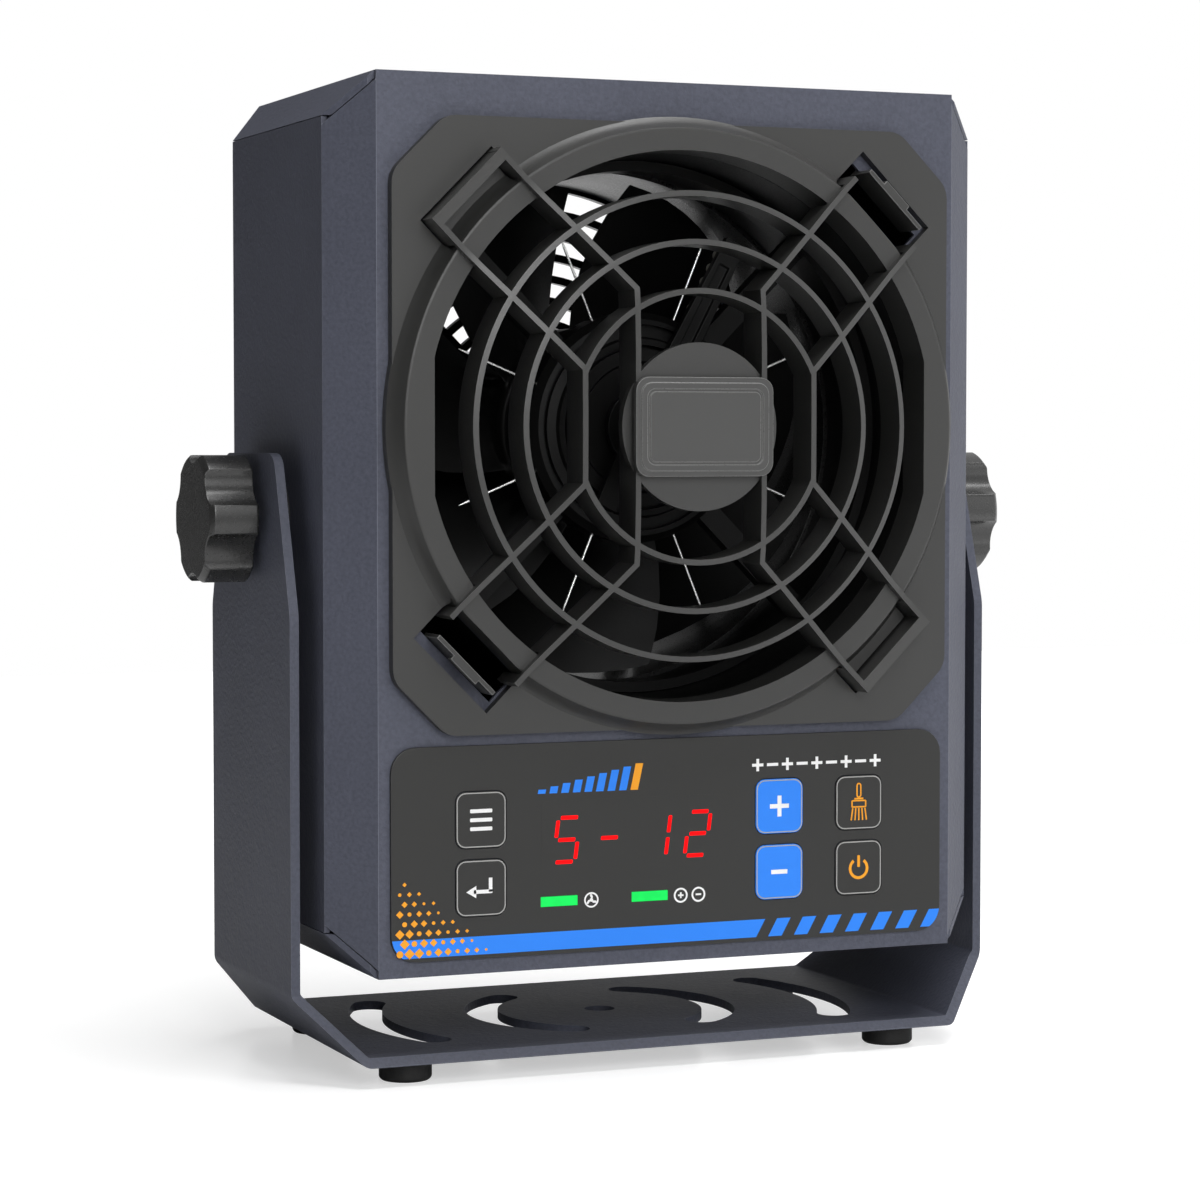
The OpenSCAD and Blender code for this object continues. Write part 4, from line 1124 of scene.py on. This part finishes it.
@dataclass
class Studio:
    """The floor, the lamps, the backdrop and the camera.

    The camera's place and lens are in millimetres and its turn in degrees; the floor, the fades
    and the lamps are in metres.
    """

    camera_place: tuple[float, float, float] = (-290.7, -702.8, 132.3)
    camera_turn: tuple[float, float, float] = (87.25, 0.0, -22.48)
    lens: float = 100.13
    sensor: float = 36.0
    ambient: float = 0.075
    dim_side: float = 0.03
    world_fall: tuple[float, float] = (0.0, 0.8)
    floor_fall: tuple[float, float] = (-0.1, 0.5)
    floor_fade: tuple[float, float, float, float] = (0.15, 0.8, 0.5, 1.0)
    floor_size: float = 2.4
    floor_blotch_mm: float = 400.0
    aim: tuple[float, float, float] = (0.0, 0.0, 0.11)
    lamps: tuple[StudioLamp, ...] = (
        StudioLamp("key_lamp", (-0.2, -1.6, 0.75), 0.9, 16.5),
        StudioLamp("right_lamp", (1.2, -1.2, 0.5), 0.9, 2.2),
        StudioLamp("top_lamp", (0.25, -0.25, 1.6), 1.0, 23.0),
    )

    def _camera(self) -> None:
        """Adds the camera."""
        data = bpy.data.cameras.new("camera")
        camera = bpy.data.objects.new("camera", data)
        bpy.context.scene.collection.objects.link(camera)
        camera.location = [c * MM for c in self.camera_place]
        camera.rotation_euler = [math.radians(a) for a in self.camera_turn]
        data.lens = self.lens
        data.sensor_width = self.sensor
        data.dof.use_dof = False
        bpy.context.scene.camera = camera

    def _seen(self, tree: bpy.types.NodeTree, coords: Socket, ends: tuple[float, float]) -> Socket:
        """Tells apart the rays that meet the surroundings.

        Args:
            tree: the node tree to add to.
            coords: the coordinates that the fall is along.
            ends: where along X the fall ends and where it starts.

        Returns:
            1 for camera and transmission rays, a value that falls to the left for glossy rays,
            and 0 for the rest.
        """
        path = tree.nodes.new("ShaderNodeLightPath")
        split = tree.nodes.new("ShaderNodeSeparateXYZ")
        tree.links.new(coords, split.inputs[0])
        side = tree.nodes.new("ShaderNodeMapRange")
        side.interpolation_type = "SMOOTHSTEP"
        side.inputs["From Min"].default_value, side.inputs["From Max"].default_value = ends
        side.inputs["To Min"].default_value = self.dim_side
        tree.links.new(split.outputs["X"], side.inputs["Value"])
        gloss = combined(tree, "MULTIPLY", path.outputs["Is Glossy Ray"], side.outputs[0])
        clear = combined(tree, "MAXIMUM", path.outputs["Is Camera Ray"],
                         path.outputs["Is Transmission Ray"])
        return combined(tree, "MAXIMUM", clear, gloss)

    def _world(self) -> None:
        """Makes the surroundings: white to the camera, to gloss dimmer on the left."""
        world = bpy.data.worlds.new("studio")
        bpy.context.scene.world = world
        world.use_nodes = True
        tree = world.node_tree
        back = tree.nodes["Background"]
        back.inputs["Color"].default_value = (1, 1, 1, 1)
        coords = tree.nodes.new("ShaderNodeTexCoord").outputs["Generated"]
        level = tree.nodes.new("ShaderNodeMapRange")
        level.inputs["To Min"].default_value = self.ambient
        tree.links.new(self._seen(tree, coords, self.world_fall), level.inputs["Value"])
        tree.links.new(level.outputs[0], back.inputs["Strength"])

    def _floor(self) -> None:
        """Lays a plain pale floor under the feet, which fades into the backdrop."""
        bpy.ops.object.select_all(action="DESELECT")
        bpy.ops.mesh.primitive_plane_add(size=self.floor_size)
        floor = bpy.context.object
        floor.name = "floor"
        floor.location.z = CAD_BOUNDS[0][2]
        settle(floor)
        tree = ShaderTree("pale_floor")
        blotches = tree.noise(self.floor_blotch_mm, 1.0)
        tree.feed("Base Color", tree.blend(blotches, (0.86, 0.86, 0.86), (0.90, 0.90, 0.90)))
        tree.fix(Roughness=0.25, Specular_IOR_Level=0.4)
        length = tree.nodes.new("ShaderNodeVectorMath")
        length.operation = "LENGTH"
        tree.links.new(tree.coords, length.inputs[0])
        fade = tree.nodes.new("ShaderNodeMapRange")
        fade.interpolation_type = "SMOOTHSTEP"
        for name, value in zip(("From Min", "From Max", "To Min", "To Max"), self.floor_fade):
            fade.inputs[name].default_value = value
        tree.links.new(length.outputs["Value"], fade.inputs["Value"])
        nodes = tree.material.node_tree
        glow = tree.nodes.new("ShaderNodeEmission")
        seen = self._seen(nodes, tree.coords, self.floor_fall)
        tree.links.new(combined(nodes, "MULTIPLY", seen, fade.outputs[0]),
                       glow.inputs["Strength"])
        both = tree.nodes.new("ShaderNodeAddShader")
        tree.links.new(tree.shader.outputs[0], both.inputs[0])
        tree.links.new(glow.outputs[0], both.inputs[1])
        tree.links.new(both.outputs[0], tree.nodes["Material Output"].inputs["Surface"])
        floor.data.materials.append(tree.material)

    def build(self) -> None:
        """Sets up the whole studio."""
        bpy.context.scene.view_settings.view_transform = "Standard"
        self._camera()
        self._world()
        self._floor()
        for lamp in self.lamps:
            lamp.hang(Vector(self.aim))


def main() -> None:
    """Builds every sub-assembly in order."""
    logging.basicConfig(level=logging.INFO, format="%(name)s: %(message)s")
    for assembly in (Studio(), CaseShell(), AirOpening(), Fan(), Keypad(), Bracket(), Fasteners()):
        assembly.build()
        log.info("%s done", type(assembly).__name__)


if __name__ == "__main__":
    main()
